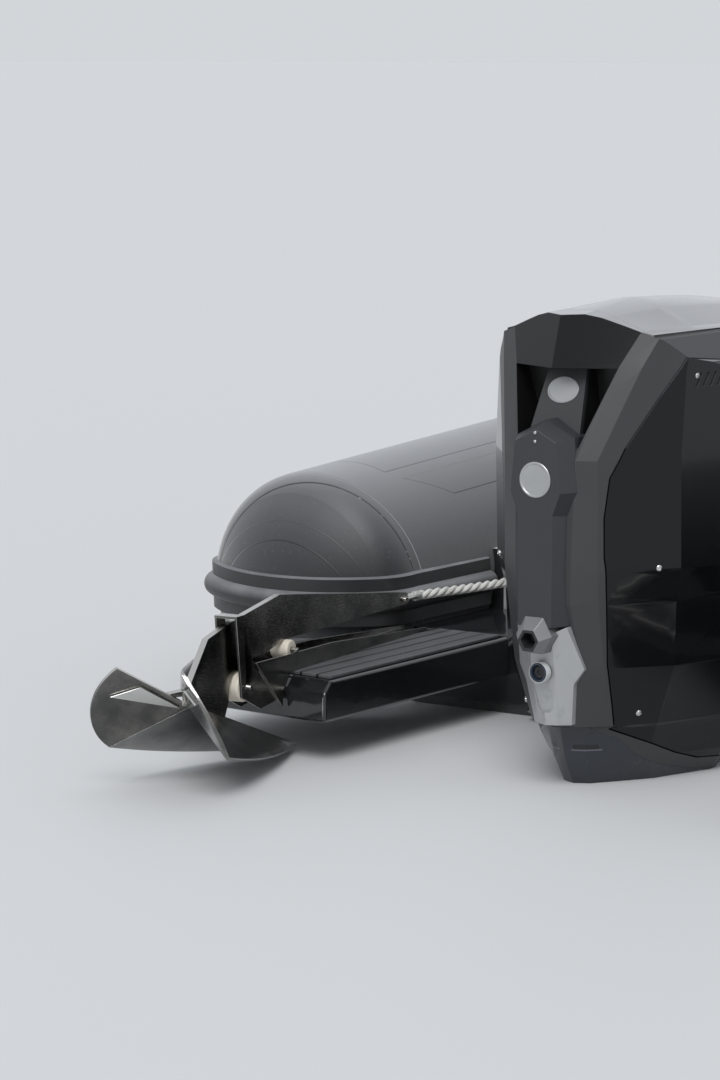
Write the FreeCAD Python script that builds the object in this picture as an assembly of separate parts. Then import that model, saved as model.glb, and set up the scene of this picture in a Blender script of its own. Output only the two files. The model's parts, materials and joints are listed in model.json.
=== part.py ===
import FreeCAD, Part
import math
import os
from FreeCAD import Vector

os.makedirs("parts", exist_ok=True)

# Rigid inflatable boat with one outboard motor, in millimetres.
# X points forward from the transom, Y to port and Z up from the waterline.

# Inflated tubes
TUBE_R = 310
TUBE_Y = 1190
TUBE_Z = 280
TUBE_START = -10
TUBE_RISE = 3.5
BOW_RISE = 7.0
TUBE_STRAIGHT = 3015
TUBE_LIFT_R = 16370
TUBE_LEVEL = 240
TUBE_SWEEP_R = 4500
TUBE_SWEEP = 30
CAP_CORNER_R = 121
CAP_CORNER = 50
FIT = 0.4
RUNNING = 0.05

# Rub rail along the outside of each tube
RAIL_HALF = 72
RAIL_STRIP = 8
RAIL_BEAD = 25
RAIL_DEPTH = 32
RAIL_INBOARD = 350

# Hull
DECK_Z = 200
TRANSOM_Z = 235
FLOOR_Z = 140
BOW_SEAT_Z = 400
WALL = 30
BENCH_X = 900
BOW_SEAT_AHEAD = 470
BOW_DECK_AHEAD = 1920
STRAKE = 45
CHINE_FLAT = 60
GUNWALE = 60

# Swim platforms
PLATFORM_AFT = -820
PLATFORM_INNER = 593
PLATFORM_OUTER = 1090
PLATFORM_THICK = 100
PLATFORM_CORNER = 40
PLATFORM_SLANT = 40
PLATFORM_BEVEL = 30
PAD = 8

# Outboard motor
TILT_X, TILT_Z = -20, 285
STEER_X = -190
PLATE_Z = -390
SHAFT_Z = -620
SKEG_Z = -850
PROP_R = 190
PROP_PITCH = 480
BLADES = 3

UP = Vector(0, 0, 1)
PORT = Vector(0, 1, 0)
ORIGIN = Vector(0, 0, 0)
PUT = {
    "XY": lambda a, b, h: Vector(a, b, h),
    "XZ": lambda a, b, h: Vector(a, h, b),
    "YZ": lambda a, b, h: Vector(h, a, b),
}
NORMAL = {"XY": Vector(0, 0, 1), "XZ": Vector(0, 1, 0), "YZ": Vector(1, 0, 0)}


def prism(points, plane, low, high):
    """Outline in a plane, pushed square to it from low to high."""
    corners = [PUT[plane](a, b, low) for a, b in points]
    face = Part.Face(Part.makePolygon(corners + corners[:1]))
    return face.extrude(NORMAL[plane] * (high - low))


def block(x0, x1, y0, y1, z0, z1):
    return Part.makeBox(x1 - x0, y1 - y0, z1 - z0, Vector(x0, y0, z0))


def rod(start, end, radius):
    run = end - start
    return Part.makeCylinder(radius, run.Length, start, run)


def other_side(shape):
    return shape.mirror(ORIGIN, PORT)


def both_sides(shape):
    return Part.makeCompound([shape, other_side(shape)])


def symmetric(half):
    """Half outline from one side, closed by its mirror image."""
    return half + [(a, -b) for a, b in reversed(half)]


def symmetric_front(half):
    return half + [(-a, b) for a, b in reversed(half)]


def pipe(points, radius, bend):
    """Round bar through points, with a tangent arc of one bend radius at each corner."""
    edges = []
    last = points[0]
    for before, corner, after in zip(points, points[1:], points[2:]):
        inward = (before - corner).normalize()
        outward = (after - corner).normalize()
        turn = math.pi - inward.getAngle(outward)
        back = bend * math.tan(turn / 2)
        first = corner + inward * back
        final = corner + outward * back
        middle = (inward + outward).normalize()
        top = corner + middle * (bend / math.cos(turn / 2) - bend)
        edges.append(Part.makeLine(last, first))
        edges.append(Part.Arc(first, top, final).toShape())
        last = final
    edges.append(Part.makeLine(last, points[-1]))
    ring = Part.Wire(Part.makeCircle(radius, points[0], points[1] - points[0]))
    return Part.Wire(edges).makePipeShell([ring], True, False)


def save(name, shape):
    shape.exportStep("parts/" + name + ".step")


# Port tube's centre line: straight, an easy lift, straight, a gentle sweep and the bow bend
rise = math.radians(TUBE_RISE)
bow_rise = math.radians(BOW_RISE)
sweep = math.radians(TUBE_SWEEP)
ahead = Vector(math.cos(rise), 0, math.sin(rise))
ahead_up = Vector(-math.sin(rise), 0, math.cos(rise))
bow_ahead = Vector(math.cos(bow_rise), 0, math.sin(bow_rise))
bow_up = Vector(-math.sin(bow_rise), 0, math.cos(bow_rise))
tube_start = Vector(TUBE_START, TUBE_Y, TUBE_Z)
lift_start = tube_start + ahead * TUBE_STRAIGHT
lift_centre = lift_start + ahead_up * TUBE_LIFT_R
lift_end = lift_centre - bow_up * TUBE_LIFT_R
sweep_start = lift_end + bow_ahead * TUBE_LEVEL
sweep_centre = sweep_start - PORT * TUBE_SWEEP_R
swept_out = PORT * math.cos(sweep) + bow_ahead * math.sin(sweep)
bend_start = sweep_centre + swept_out * TUBE_SWEEP_R
BOW_BEND_R = bend_start.y / math.cos(sweep)
bend_centre = bend_start - swept_out * BOW_BEND_R

# Each leg: its start, the way out to port and up there, and its length or its centre, axis and angle
TUBE_LEGS = [
    (tube_start, PORT, ahead_up, ahead * TUBE_STRAIGHT, None),
    (lift_start, PORT, ahead_up, None, (lift_centre, -PORT, BOW_RISE - TUBE_RISE)),
    (lift_end, PORT, bow_up, bow_ahead * TUBE_LEVEL, None),
    (sweep_start, PORT, bow_up, None, (sweep_centre, -bow_up, TUBE_SWEEP)),
    (bend_start, swept_out, bow_up, None, (bend_centre, -bow_up, 90 - TUBE_SWEEP)),
]


def along_tube(outline_at):
    """Solid with the outline drawn by outline_at at the start of each leg and carried along it."""
    legs = []
    for start, out, up, run, arc in TUBE_LEGS:
        face = outline_at(start, out, up)
        legs.append(face.extrude(run) if run else face.revolve(*arc))
    return legs[0].fuse(legs[1:]).removeSplitter()


def tube_axis(x):
    """Port tube's centre (y, z) at a distance x forward of the transom."""
    if x <= lift_start.x:
        return TUBE_Y, tube_start.z + (x - tube_start.x) * math.tan(rise)
    if x <= lift_end.x:
        return TUBE_Y, lift_centre.z - math.sqrt(TUBE_LIFT_R ** 2 - (x - lift_centre.x) ** 2)
    z = lift_end.z + (x - lift_end.x) * math.tan(bow_rise)
    along = (x - sweep_start.x) / math.cos(bow_rise)
    if along <= 0:
        return TUBE_Y, z
    if along <= TUBE_SWEEP_R * math.sin(sweep):
        return TUBE_Y - TUBE_SWEEP_R + math.sqrt(TUBE_SWEEP_R ** 2 - along ** 2), z
    past = (x - bend_centre.x) / math.cos(bow_rise)
    return math.sqrt(max(BOW_BEND_R ** 2 - past ** 2, 0)), z


# Inflated tubes: one long skin a side with a domed cap at the stern, meeting at the bow
CAP_NOSE_R = CAP_CORNER_R + (TUBE_R - CAP_CORNER_R) / math.cos(math.radians(CAP_CORNER))


def cap(grow):
    """Domed stern cap, its outline a tight corner arc and a wide nose arc."""
    corner = Vector(TUBE_R - CAP_CORNER_R, 0, 0)
    nose = Vector(0, -(CAP_NOSE_R - CAP_CORNER_R) * math.sin(math.radians(CAP_CORNER)), 0)

    def on_arc(centre, radius, degrees):
        angle = math.radians(degrees)
        offset = centre + Vector(math.cos(angle), math.sin(angle), 0) * (radius + grow)
        return tube_start + PORT * offset.x - ahead * offset.y

    rim = on_arc(corner, CAP_CORNER_R, 0)
    side = on_arc(corner, CAP_CORNER_R, CAP_CORNER / 2)
    join = on_arc(corner, CAP_CORNER_R, CAP_CORNER)
    front = on_arc(nose, CAP_NOSE_R, (CAP_CORNER + 90) / 2)
    tip = on_arc(nose, CAP_NOSE_R, 90)
    wire = Part.Wire([
        Part.makeLine(tube_start, rim),
        Part.Arc(rim, side, join).toShape(),
        Part.Arc(join, front, tip).toShape(),
        Part.makeLine(tip, tube_start),
    ])
    return Part.Face(wire).revolve(tube_start, ahead, 360)


def tube_solid(grow):
    def ring(start, out, up):
        return Part.Face(Part.Wire(Part.makeCircle(TUBE_R + grow, start, out.cross(up))))
    return along_tube(ring).fuse(cap(grow)).removeSplitter()


tube_port = tube_solid(0)
tube_room = tube_solid(FIT)
tube_room_both = [tube_room, other_side(tube_room)]
save("tube_port", tube_port)
save("tube_starboard", other_side(tube_port))


# Rub rail: a flat strip with a thick bead, along the outside, round the cap and a little way inside
def rail_face(start, out, up, inner):
    """Rail's section, out from the tube's centre; inner is the radius of its back."""
    def at(s, u):
        return start + out * s + up * u
    edge = math.sqrt(inner ** 2 - RAIL_HALF ** 2)
    strip = TUBE_R + RAIL_STRIP
    shoulder = TUBE_R + RAIL_DEPTH - RAIL_BEAD * 0.6
    outline = [(edge, RAIL_HALF), (strip, RAIL_HALF - 10), (strip, RAIL_BEAD + 4), (shoulder, RAIL_BEAD)]
    tail = [(s, -u) for s, u in reversed(outline)]
    edges = [Part.makeLine(at(*a), at(*b)) for a, b in zip(outline, outline[1:])]
    edges.append(Part.Arc(at(*outline[-1]), at(TUBE_R + RAIL_DEPTH, 0), at(*tail[0])).toShape())
    edges += [Part.makeLine(at(*a), at(*b)) for a, b in zip(tail, tail[1:])]
    edges.append(Part.Arc(at(*tail[-1]), at(inner, 0), at(*outline[0])).toShape())
    return Part.Face(Part.Wire(edges))


def rail_outside(start, out, up):
    return rail_face(start, out, up, TUBE_R + FIT)


corner_out = tube_start + PORT * (TUBE_R - CAP_CORNER_R)
corner_in = tube_start - PORT * (TUBE_R - CAP_CORNER_R)
nose_depth = (CAP_NOSE_R - CAP_CORNER_R) * math.sin(math.radians(CAP_CORNER))
nose_centre = tube_start + ahead * nose_depth
SUNK = TUBE_R - 14

wrap = []
side_face = rail_face(tube_start, PORT, ahead_up, SUNK)
wrap.append(side_face.revolve(corner_out, ahead_up, CAP_CORNER))
nose_face = side_face.copy()
nose_face.rotate(corner_out, ahead_up, CAP_CORNER)
wrap.append(nose_face.revolve(nose_centre, ahead_up, 180 - 2 * CAP_CORNER))
inner_face = nose_face.copy()
inner_face.rotate(nose_centre, ahead_up, 180 - 2 * CAP_CORNER)
wrap.append(inner_face.revolve(corner_in, ahead_up, CAP_CORNER))
last_face = inner_face.copy()
last_face.rotate(corner_in, ahead_up, CAP_CORNER)
wrap.append(last_face.extrude(Vector(RAIL_INBOARD, 0, 0)))
rail_wrap = wrap[0].fuse(wrap[1:]).cut(tube_room)
rail = along_tube(rail_outside).fuse(rail_wrap).removeSplitter()
save("rubrail_port", rail)
save("rubrail_starboard", other_side(rail))

# Hull: deep V with two spray strakes and a flat chine a side
# x ahead of the tubes' sweep, keel z, chine y, chine z, strake width share
TRANSOM_STATION = (-sweep_start.x, -410, 960, 10, 1.0)
STATIONS = [
    TRANSOM_STATION,
    (-1430, -410, 1010, 60, 1.0),
    (170, -390, 1000, 160, 1.0),
    (760, -350, 935, 235, 0.95),
    (1270, -280, 810, 325, 0.9),
    (1650, -190, 675, 405, 0.8),
    (1970, -70, 530, 490, 0.7),
    (2230, 90, 385, 580, 0.55),
    (2470, 330, 215, 690, 0.4),
    (2620, 600, 65, 760, 0.2),
]
STRAKES = (0.36, 0.68)
INSIDE_TUBE = 60


def hull_section(ahead_of_sweep, keel, chine_y, chine_z, share):
    x = sweep_start.x + ahead_of_sweep
    flat = CHINE_FLAT * share
    edge = chine_y - flat

    def bottom(y):
        return keel + (chine_z - keel) * y / edge

    half = [(0, keel)]
    for part in STRAKES:
        y = edge * part
        out = y + STRAKE * share
        half += [(y, bottom(y)), (out, bottom(y)), (out, bottom(out) + 1)]
    tube_y, tube_z = tube_axis(x)
    side = max(tube_y - INSIDE_TUBE, chine_y * 0.8)
    half += [(edge, chine_z), (chine_y, chine_z), (side, tube_z - 2 * INSIDE_TUBE), (side, tube_z + GUNWALE)]
    outline = half + [(-y, z) for y, z in reversed(half[1:])]
    corners = [Vector(x, y, z) for y, z in outline]
    return Part.makePolygon(corners + corners[:1])


def inside_width(x):
    return tube_axis(x)[0] - TUBE_R - WALL


hull = Part.makeLoft([hull_section(*row) for row in STATIONS], True, True)
BOW_SEAT_X = sweep_start.x + BOW_SEAT_AHEAD
BOW_DECK_X = sweep_start.x + BOW_DECK_AHEAD
bow_run = BOW_DECK_X - BOW_SEAT_X
cockpit_half = [(x, inside_width(x)) for x in (BENCH_X, sweep_start.x, BOW_SEAT_X)]
bow_half = [(x, inside_width(x)) for x in (BOW_SEAT_X + bow_run * part for part in (0, 0.35, 0.7, 1))]
ABOVE = 1500
hull = hull.cut(tube_room_both + [
    prism(symmetric(cockpit_half), "XY", FLOOR_Z, ABOVE),
    prism(symmetric(bow_half), "XY", BOW_SEAT_Z, ABOVE),
    block(-50, BENCH_X, -inside_width(0), inside_width(0), DECK_Z, ABOVE),
    block(-50, RAIL_INBOARD + 20, -TUBE_Y, TUBE_Y, DECK_Z, ABOVE),
])
transom_lip = block(0, 60, -300, 300, DECK_Z, TRANSOM_Z)
LOCKER_X, LOCKER_LEN, LOCKER_HALF = BOW_SEAT_X + 147, 800, 320
LOCKER_END = LOCKER_X + LOCKER_LEN
LOCKER_FLOOR = 250
locker = block(LOCKER_X, LOCKER_END, -LOCKER_HALF, LOCKER_HALF, LOCKER_FLOOR, ABOVE)
hull = hull.fuse(transom_lip).cut(locker).removeSplitter()
save("hull", hull)

# Swim platforms: thick mouldings cantilevered aft on each side of the motor
BEHIND_CAP = -330
platform_outline = [
    (0, PLATFORM_INNER),
    (PLATFORM_AFT, PLATFORM_INNER),
    (PLATFORM_AFT + PLATFORM_SLANT, PLATFORM_OUTER - PLATFORM_CORNER),
    (PLATFORM_AFT + PLATFORM_SLANT + PLATFORM_CORNER, PLATFORM_OUTER),
    (BEHIND_CAP - 60, PLATFORM_OUTER),
    (BEHIND_CAP, PLATFORM_OUTER - 60),
    (-200, 850),
    (0, 830),
]
platform = prism(platform_outline, "XY", DECK_Z - PLATFORM_THICK, DECK_Z)
top_rim = [edge for edge in platform.Edges
           if edge.BoundBox.ZMin > DECK_Z - 1 and edge.BoundBox.XMin < BEHIND_CAP - 59
           and edge.BoundBox.XMax < -1 + (edge.BoundBox.YMax - PLATFORM_INNER < 1)]
platform = platform.makeChamfer(PLATFORM_BEVEL, top_rim).cut(tube_solid(20))
save("platform_port", platform)
save("platform_starboard", other_side(platform))
PAD_AFT = PLATFORM_AFT + PLATFORM_BEVEL + 15
pad_outline = [
    (-30, PLATFORM_INNER + 15),
    (PAD_AFT, PLATFORM_INNER + 15),
    (PAD_AFT + PLATFORM_SLANT, PLATFORM_OUTER - PLATFORM_CORNER - 20),
    (PAD_AFT + PLATFORM_SLANT + 20, PLATFORM_OUTER - PLATFORM_CORNER),
    (BEHIND_CAP - 75, PLATFORM_OUTER - PLATFORM_CORNER),
    (-230, 800),
    (-30, 790),
]
save("platform_pads", both_sides(prism(pad_outline, "XY", DECK_Z, DECK_Z + PAD)))

# Cockpit deck pad
floor_pad = [(1560, 770), (sweep_start.x - 30, 770), (BOW_SEAT_X - 50, 720)]
floor_pads = prism(symmetric(floor_pad), "XY", FLOOR_Z, FLOOR_Z + PAD)

# Stern bench with a locker, a lid that lifts from the rear and a padded back
BENCH_LEN, BENCH_HALF, BENCH_H = 560, 540, 360
BENCH_WALL = 25
LID_T, CUSHION_T = 20, 75
bench_top = FLOOR_Z + BENCH_H
bench_end = BENCH_X + 60 + BENCH_LEN
bench_start = BENCH_X + 60
bench = block(bench_start, bench_end, -BENCH_HALF, BENCH_HALF, FLOOR_Z, bench_top)
bench = bench.cut(block(bench_start + 110, bench_end - BENCH_WALL, -BENCH_HALF + BENCH_WALL,
                        BENCH_HALF - BENCH_WALL, FLOOR_Z + BENCH_WALL, bench_top + 1))
save("stern_bench", bench)
LID_GAP = 0.5
lid_z = bench_top + LID_GAP
bench_lid = block(bench_start + 120, bench_end, -BENCH_HALF, BENCH_HALF, lid_z, lid_z + LID_T)
HINGE_R, HINGE_PIN_R, HINGE_LEN = 7, 3, 60
HINGE_OUT = 8


def hinge(x, z, y, edge_x, leaf_low, base_low, base_high):
    """Butt hinge across y: the lid's knuckle with its leaf, its bore, and the fixed pair with their pin."""
    half = HINGE_LEN / 2

    def barrel(y0, y1, radius):
        return rod(Vector(x, y0, z), Vector(x, y1, z), radius)

    def leaf(y0, y1, low, high):
        return block(min(x, edge_x), max(x, edge_x), y0, y1, low, high)

    moving = barrel(y - half, y + half, HINGE_R).fuse(leaf(y - half, y + half, leaf_low, leaf_low + 5))
    fixed = barrel(y - half - 6, y + half + 6, HINGE_PIN_R)
    for y0 in (y - half - 30, y + half + 1):
        fixed = fixed.fuse([barrel(y0, y0 + 29, HINGE_R), leaf(y0, y0 + 29, base_low, base_high)])
    return moving, fixed, barrel(y - half - 1, y + half + 1, HINGE_PIN_R + RUNNING)


bench_hinges = [hinge(bench_end + HINGE_OUT, bench_top, y, bench_end, lid_z, bench_top - 6, bench_top)
                for y in (-BENCH_HALF * 0.7, BENCH_HALF * 0.7)]
bench_lid = bench_lid.fuse([moving for moving, fixed, bore in bench_hinges])
save("bench_lid", bench_lid.cut([bore for moving, fixed, bore in bench_hinges]))
cushion = block(bench_start + 125, bench_end - 5, -BENCH_HALF + 5, BENCH_HALF - 5,
                lid_z + LID_T + FIT, lid_z + LID_T + CUSHION_T)
save("bench_cushion", cushion)
BACK_TOP = 800
back_frame = block(bench_start, bench_start + 25, -BENCH_HALF, BENCH_HALF, bench_top, BACK_TOP)
save("bench_back_frame", back_frame)
back_cushion = block(bench_start + 25 + FIT, bench_start + 105, -BENCH_HALF + 5, BENCH_HALF - 5,
                     lid_z + LID_T + CUSHION_T + 15, BACK_TOP)
save("bench_back_cushion", back_cushion)

# Helm seat: one pod with two seats side by side
POD_X, POD_LEN, POD_HALF, POD_H = 2000, 420, 420, 560
pod_side = [(POD_X + 30, FLOOR_Z), (POD_X + POD_LEN - 40, FLOOR_Z), (POD_X + POD_LEN, FLOOR_Z + POD_H),
            (POD_X, FLOOR_Z + POD_H)]
save("helm_pod", prism(pod_side, "XZ", -POD_HALF, POD_HALF))
pod_top = FLOOR_Z + POD_H
SEAT_GAP = 40
seat = block(POD_X + 60, POD_X + POD_LEN + 20, SEAT_GAP / 2, POD_HALF, pod_top + FIT, pod_top + 110)
save("helm_cushions", both_sides(seat))
seat_back = prism([(POD_X - 40, pod_top + 420), (POD_X + 20, pod_top + 430), (POD_X + 55, pod_top + FIT),
                   (POD_X, pod_top + FIT)], "XZ", SEAT_GAP / 2, POD_HALF)
save("helm_backs", both_sides(seat_back))

# Console with a sloped dash, a front seat and a wrap-around windscreen
CON_X, CON_LEN, CON_HALF = 2850, 800, 430
con_side = [
    (CON_X + 120, FLOOR_Z), (CON_X + 60, 700), (CON_X, 960), (CON_X + 30, 1010), (CON_X + 260, 1180),
    (CON_X + 420, 1200), (CON_X + 700, 1060), (CON_X + CON_LEN, 700), (CON_X + CON_LEN, FLOOR_Z),
]
con_plan = [(CON_X - 20, CON_HALF - 60), (CON_X + 60, CON_HALF), (CON_X + 560, CON_HALF),
            (CON_X + CON_LEN - 60, CON_HALF - 70), (CON_X + CON_LEN + 10, CON_HALF - 170)]
console = prism(con_side, "XZ", -CON_HALF, CON_HALF)
console = console.common(prism(symmetric(con_plan), "XY", FLOOR_Z, ABOVE))
save("console", console)
FRONT_SEAT_Z = 480
front_seat = block(CON_X + CON_LEN + FIT, CON_X + CON_LEN + 400, -300, 300, FLOOR_Z, FRONT_SEAT_Z)
save("console_seat", front_seat)
pod_room = block(POD_X, POD_X + POD_LEN, -POD_HALF, POD_HALF, FLOOR_Z, FLOOR_Z + PAD)
con_room = block(CON_X, CON_X + CON_LEN + 400, -CON_HALF, CON_HALF, FLOOR_Z, FLOOR_Z + PAD)
save("cockpit_pads", floor_pads.cut([pod_room, con_room]))
front_cushion = block(CON_X + CON_LEN + 5, CON_X + CON_LEN + 400, -300, 300,
                      FRONT_SEAT_Z + FIT, FRONT_SEAT_Z + 80)
save("console_cushion", front_cushion)
SCREEN_T = 6
screen_half = [(CON_X + 250, CON_HALF - 40), (CON_X + 560, CON_HALF - 60), (CON_X + 680, CON_HALF - 180)]
screen_inner = [(CON_X + 250, CON_HALF - 40 - SCREEN_T), (CON_X + 557, CON_HALF - 60 - SCREEN_T),
                (CON_X + 672, CON_HALF - 180 - SCREEN_T)]
outer = [Vector(x, y, 1000) for x, y in symmetric(screen_half)]
inner = [Vector(x, y, 1000) for x, y in symmetric(screen_inner)]
screen_ring = outer + list(reversed(inner))
screen = Part.Face(Part.makePolygon(screen_ring + screen_ring[:1])).extrude(Vector(-170, 0, 620))
screen = screen.cut(console)
save("windscreen", screen)

# Instrument panel on the sloped dash: a flat plate with a screen and two round dials standing proud of it
PANEL_HALF, DASH_T = CON_HALF - 170, 6
dash_low, dash_high = Vector(CON_X + 30, 0, 1010), Vector(CON_X + 260, 0, 1180)
dash_up = (dash_high - dash_low).normalize()
dash_out = dash_up.cross(PORT).normalize()
if dash_out.z < 0:
    dash_out = -dash_out


def on_dash(side, climb, half_wide, high, thick):
    """Slab lying on the dash face, its lower middle a distance to port and up the slope."""
    start = dash_low + dash_up * climb + PORT * (side - half_wide) + dash_out * FIT
    corners = [start, start + PORT * (2 * half_wide), start + PORT * (2 * half_wide) + dash_up * high,
               start + dash_up * high]
    return Part.Face(Part.makePolygon(corners + corners[:1])).extrude(dash_out * thick)


dash = on_dash(0, 40, PANEL_HALF, 210, DASH_T).fuse(on_dash(-20, 70, 120, 150, DASH_T + 14))
for side in (150, 235):
    dial = dash_low + dash_up * 145 + PORT * side + dash_out * DASH_T
    dash = dash.fuse(Part.makeCylinder(34, 10, dial, dash_out))
save("dash_panel", dash)

# Grab rail: one bent tube up each side inside the screen's rear edge and across above it
GRAB_R, GRAB_Y = 12, CON_HALF - 65
grab_foot, grab_top = Vector(CON_X + 235, GRAB_Y, 1140), Vector(CON_X + 100, GRAB_Y, 1635)
grab = pipe([grab_foot, grab_top, Vector(grab_top.x, -GRAB_Y, grab_top.z),
             Vector(grab_foot.x, -GRAB_Y, grab_foot.z)], GRAB_R, 60)
save("console_rail", grab.cut(console))

# Steering wheel on the dash
WHEEL_R, WHEEL_TILT = 175, 30
wheel_axis = Vector(math.cos(math.radians(WHEEL_TILT)), 0, -math.sin(math.radians(WHEEL_TILT)))
wheel_centre = Vector(CON_X - 60, 0, 990)
rim = Part.makeTorus(WHEEL_R, 15, wheel_centre, wheel_axis)
hub = Part.makeCylinder(38, 40, wheel_centre - wheel_axis * 10, wheel_axis)
wheel_up = wheel_axis.cross(PORT).normalize()
spokes = []
for degrees in (90, 210, 330):
    angle = math.radians(degrees)
    reach = wheel_up * math.sin(angle) + PORT * math.cos(angle)
    spokes.append(rod(wheel_centre + reach * 20, wheel_centre + reach * WHEEL_R, 11))
WHEEL_SHAFT_R = 8
shaft_hole = rod(wheel_centre - wheel_axis * 50, wheel_centre + wheel_axis * 60, WHEEL_SHAFT_R + RUNNING)
save("steering_wheel", rim.fuse([hub] + spokes).cut(shaft_hole))
column = rod(wheel_centre + wheel_axis * 32, wheel_centre + wheel_axis * 200, 26).cut(console)
shaft = rod(wheel_centre, wheel_centre + wheel_axis * 60, WHEEL_SHAFT_R)
save("wheel_column", column.fuse(shaft))
throttle_y = 130 - CON_HALF
throttle = rod(Vector(CON_X + 120, throttle_y, 1060), Vector(CON_X + 60, throttle_y, 1240), 14)
save("throttle", throttle.cut(console))

# Carrying handles: moulded rubber grips glued along the top of each tube
HANDLE_STEP, HANDLES = 1150, 3
GRIP_LEN, GRIP_HALF, GRIP_T, GRIP_RISE = 240, 22, 14, 38
handles = []
for number in range(HANDLES):
    x = BENCH_X + 250 + number * HANDLE_STEP
    y, z = tube_axis(x)
    crown = z + TUBE_R
    half = GRIP_LEN / 2
    side = [(-half - 50, -20), (-half - 50, 6), (-half, 10), (-half + 40, GRIP_RISE + GRIP_T),
            (half - 40, GRIP_RISE + GRIP_T), (half, 10), (half + 50, 6), (half + 50, -20),
            (half - 10, -20), (half - 52, GRIP_RISE), (-half + 52, GRIP_RISE), (-half + 10, -20)]
    grip = prism(side, "XZ", y - GRIP_HALF, y + GRIP_HALF)
    grip.rotate(ORIGIN, PORT, -TUBE_RISE)
    grip.translate(Vector(x, 0, crown))
    handles.append(grip.cut(tube_room))
save("tube_handles", Part.makeCompound(handles + [other_side(piece) for piece in handles]))

# Bow seat: a lid and cushion over the locker, hinged at its aft edge, and a fixed cushion ahead
bow_lid_z = BOW_SEAT_Z + LID_GAP
LID_LAP = 45
lid_aft = LOCKER_X - LID_LAP
bow_lid = block(lid_aft, LOCKER_END + LID_LAP, -LOCKER_HALF - LID_LAP, LOCKER_HALF + LID_LAP,
                bow_lid_z, bow_lid_z + LID_T)
bow_hinges = [hinge(lid_aft - HINGE_OUT, BOW_SEAT_Z + HINGE_R + 1, y, lid_aft, BOW_SEAT_Z + HINGE_R,
                    BOW_SEAT_Z, BOW_SEAT_Z + 4)
              for y in (-LOCKER_HALF * 0.7, LOCKER_HALF * 0.7)]
bow_lid = bow_lid.fuse([moving for moving, fixed, bore in bow_hinges])
save("bow_lid", bow_lid.cut([bore for moving, fixed, bore in bow_hinges]))
save("lid_hinges", Part.makeCompound([fixed for moving, fixed, bore in bench_hinges + bow_hinges]))
save("bow_cushion", block(lid_aft + 5, LOCKER_END + LID_LAP - 5, -LOCKER_HALF - LID_LAP + 5,
                          LOCKER_HALF + LID_LAP - 5, bow_lid_z + LID_T + FIT, bow_lid_z + LID_T + CUSHION_T))
head_half = [(LOCKER_END + LID_LAP + 15, inside_width(LOCKER_END + LID_LAP) - 30),
             (BOW_DECK_X - 10, inside_width(BOW_DECK_X) - 30)]
save("bow_head_cushion", prism(symmetric(head_half), "XY", BOW_SEAT_Z + FIT, bow_lid_z + LID_T + CUSHION_T))

# Boarding ladder folded forward on the starboard platform, hinged behind its aft edge
LADDER_X, LADDER_Z = -846, 214
LADDER_REACH = 500
LADDER_Y = (-990, -720)
RAIL_R, RUNG_R, PIN_R = 12, 14, 6
ladder_lift = DECK_Z + PAD + RAIL_R + 3
rails, lugs = [], []
for y in LADDER_Y:
    eye = rod(Vector(LADDER_X, y - RAIL_R, LADDER_Z), Vector(LADDER_X, y + RAIL_R, LADDER_Z), 16)
    bar = rod(Vector(LADDER_X, y, ladder_lift), Vector(LADDER_X + LADDER_REACH, y, ladder_lift), RAIL_R)
    rails.append(eye.fuse(bar))
    lug = block(LADDER_X - 12, PLATFORM_AFT + 50, y + RAIL_R + 1, y + RAIL_R + 9, DECK_Z - 60, LADDER_Z + 12)
    lug = lug.cut(other_side(platform)).cut(block(PLATFORM_AFT, 0, -2000, 0, DECK_Z, 300))
    pin = rod(Vector(LADDER_X, y - RAIL_R - 6, LADDER_Z), Vector(LADDER_X, y + RAIL_R + 5, LADDER_Z), PIN_R)
    lugs.append(lug.fuse(pin))
rungs = [rod(Vector(x, LADDER_Y[0], ladder_lift), Vector(x, LADDER_Y[1], ladder_lift), RUNG_R)
         for x in (LADDER_X + 150, LADDER_X + 310, LADDER_X + 470)]
pin_holes = [rod(Vector(LADDER_X, y - 20, LADDER_Z), Vector(LADDER_X, y + 20, LADDER_Z), PIN_R + 0.05)
             for y in LADDER_Y]
save("boarding_ladder", rails[0].fuse(rails[1:] + rungs).cut(pin_holes))
save("ladder_lugs", Part.makeCompound(lugs))

# Towing eyes: a drilled plate on the stem, and one laid level low on each side of the transom
EYE_R, EYE_T = 14, 14
BOW_EYE_X, BOW_EYE_Z = sweep_start.x + 2297, 97
stem_x, stem_z = BOW_EYE_X - 48, BOW_EYE_Z + 48


def drilled_eye(centre, across, neck):
    """Round head and its neck, one plate thick, drilled along across."""
    half = across * (EYE_T / 2)
    head = rod(centre - half, centre + half, 2 * EYE_R)
    return head.fuse(neck).cut(rod(centre - across * EYE_T, centre + across * EYE_T, EYE_R))


bow_neck = prism([(BOW_EYE_X, BOW_EYE_Z - 26), (BOW_EYE_X, BOW_EYE_Z + 26), (stem_x, stem_z + 34),
                  (stem_x, stem_z - 34)], "XZ", -EYE_T / 2, EYE_T / 2)
save("bow_eye", drilled_eye(Vector(BOW_EYE_X, 0, BOW_EYE_Z), PORT, bow_neck).cut(hull))
STERN_EYE = Vector(-42, 480, 30)
stern_neck = block(STERN_EYE.x, -FIT, STERN_EYE.y - 26, STERN_EYE.y + 26,
                   STERN_EYE.z - EYE_T / 2, STERN_EYE.z + EYE_T / 2)
save("stern_eyes", both_sides(drilled_eye(STERN_EYE, UP, stern_neck)))

# Cleats
def cleat(x, y, z):
    foot = block(x - 60, x + 60, y - 20, y + 20, z, z + 8)
    posts = [rod(Vector(x + s, y, z + 4), Vector(x + s, y, z + 45), 9) for s in (-35, 35)]
    horn = rod(Vector(x - 105, y, z + 50), Vector(x + 105, y, z + 50), 11)
    return foot.fuse(posts + [horn])


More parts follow.
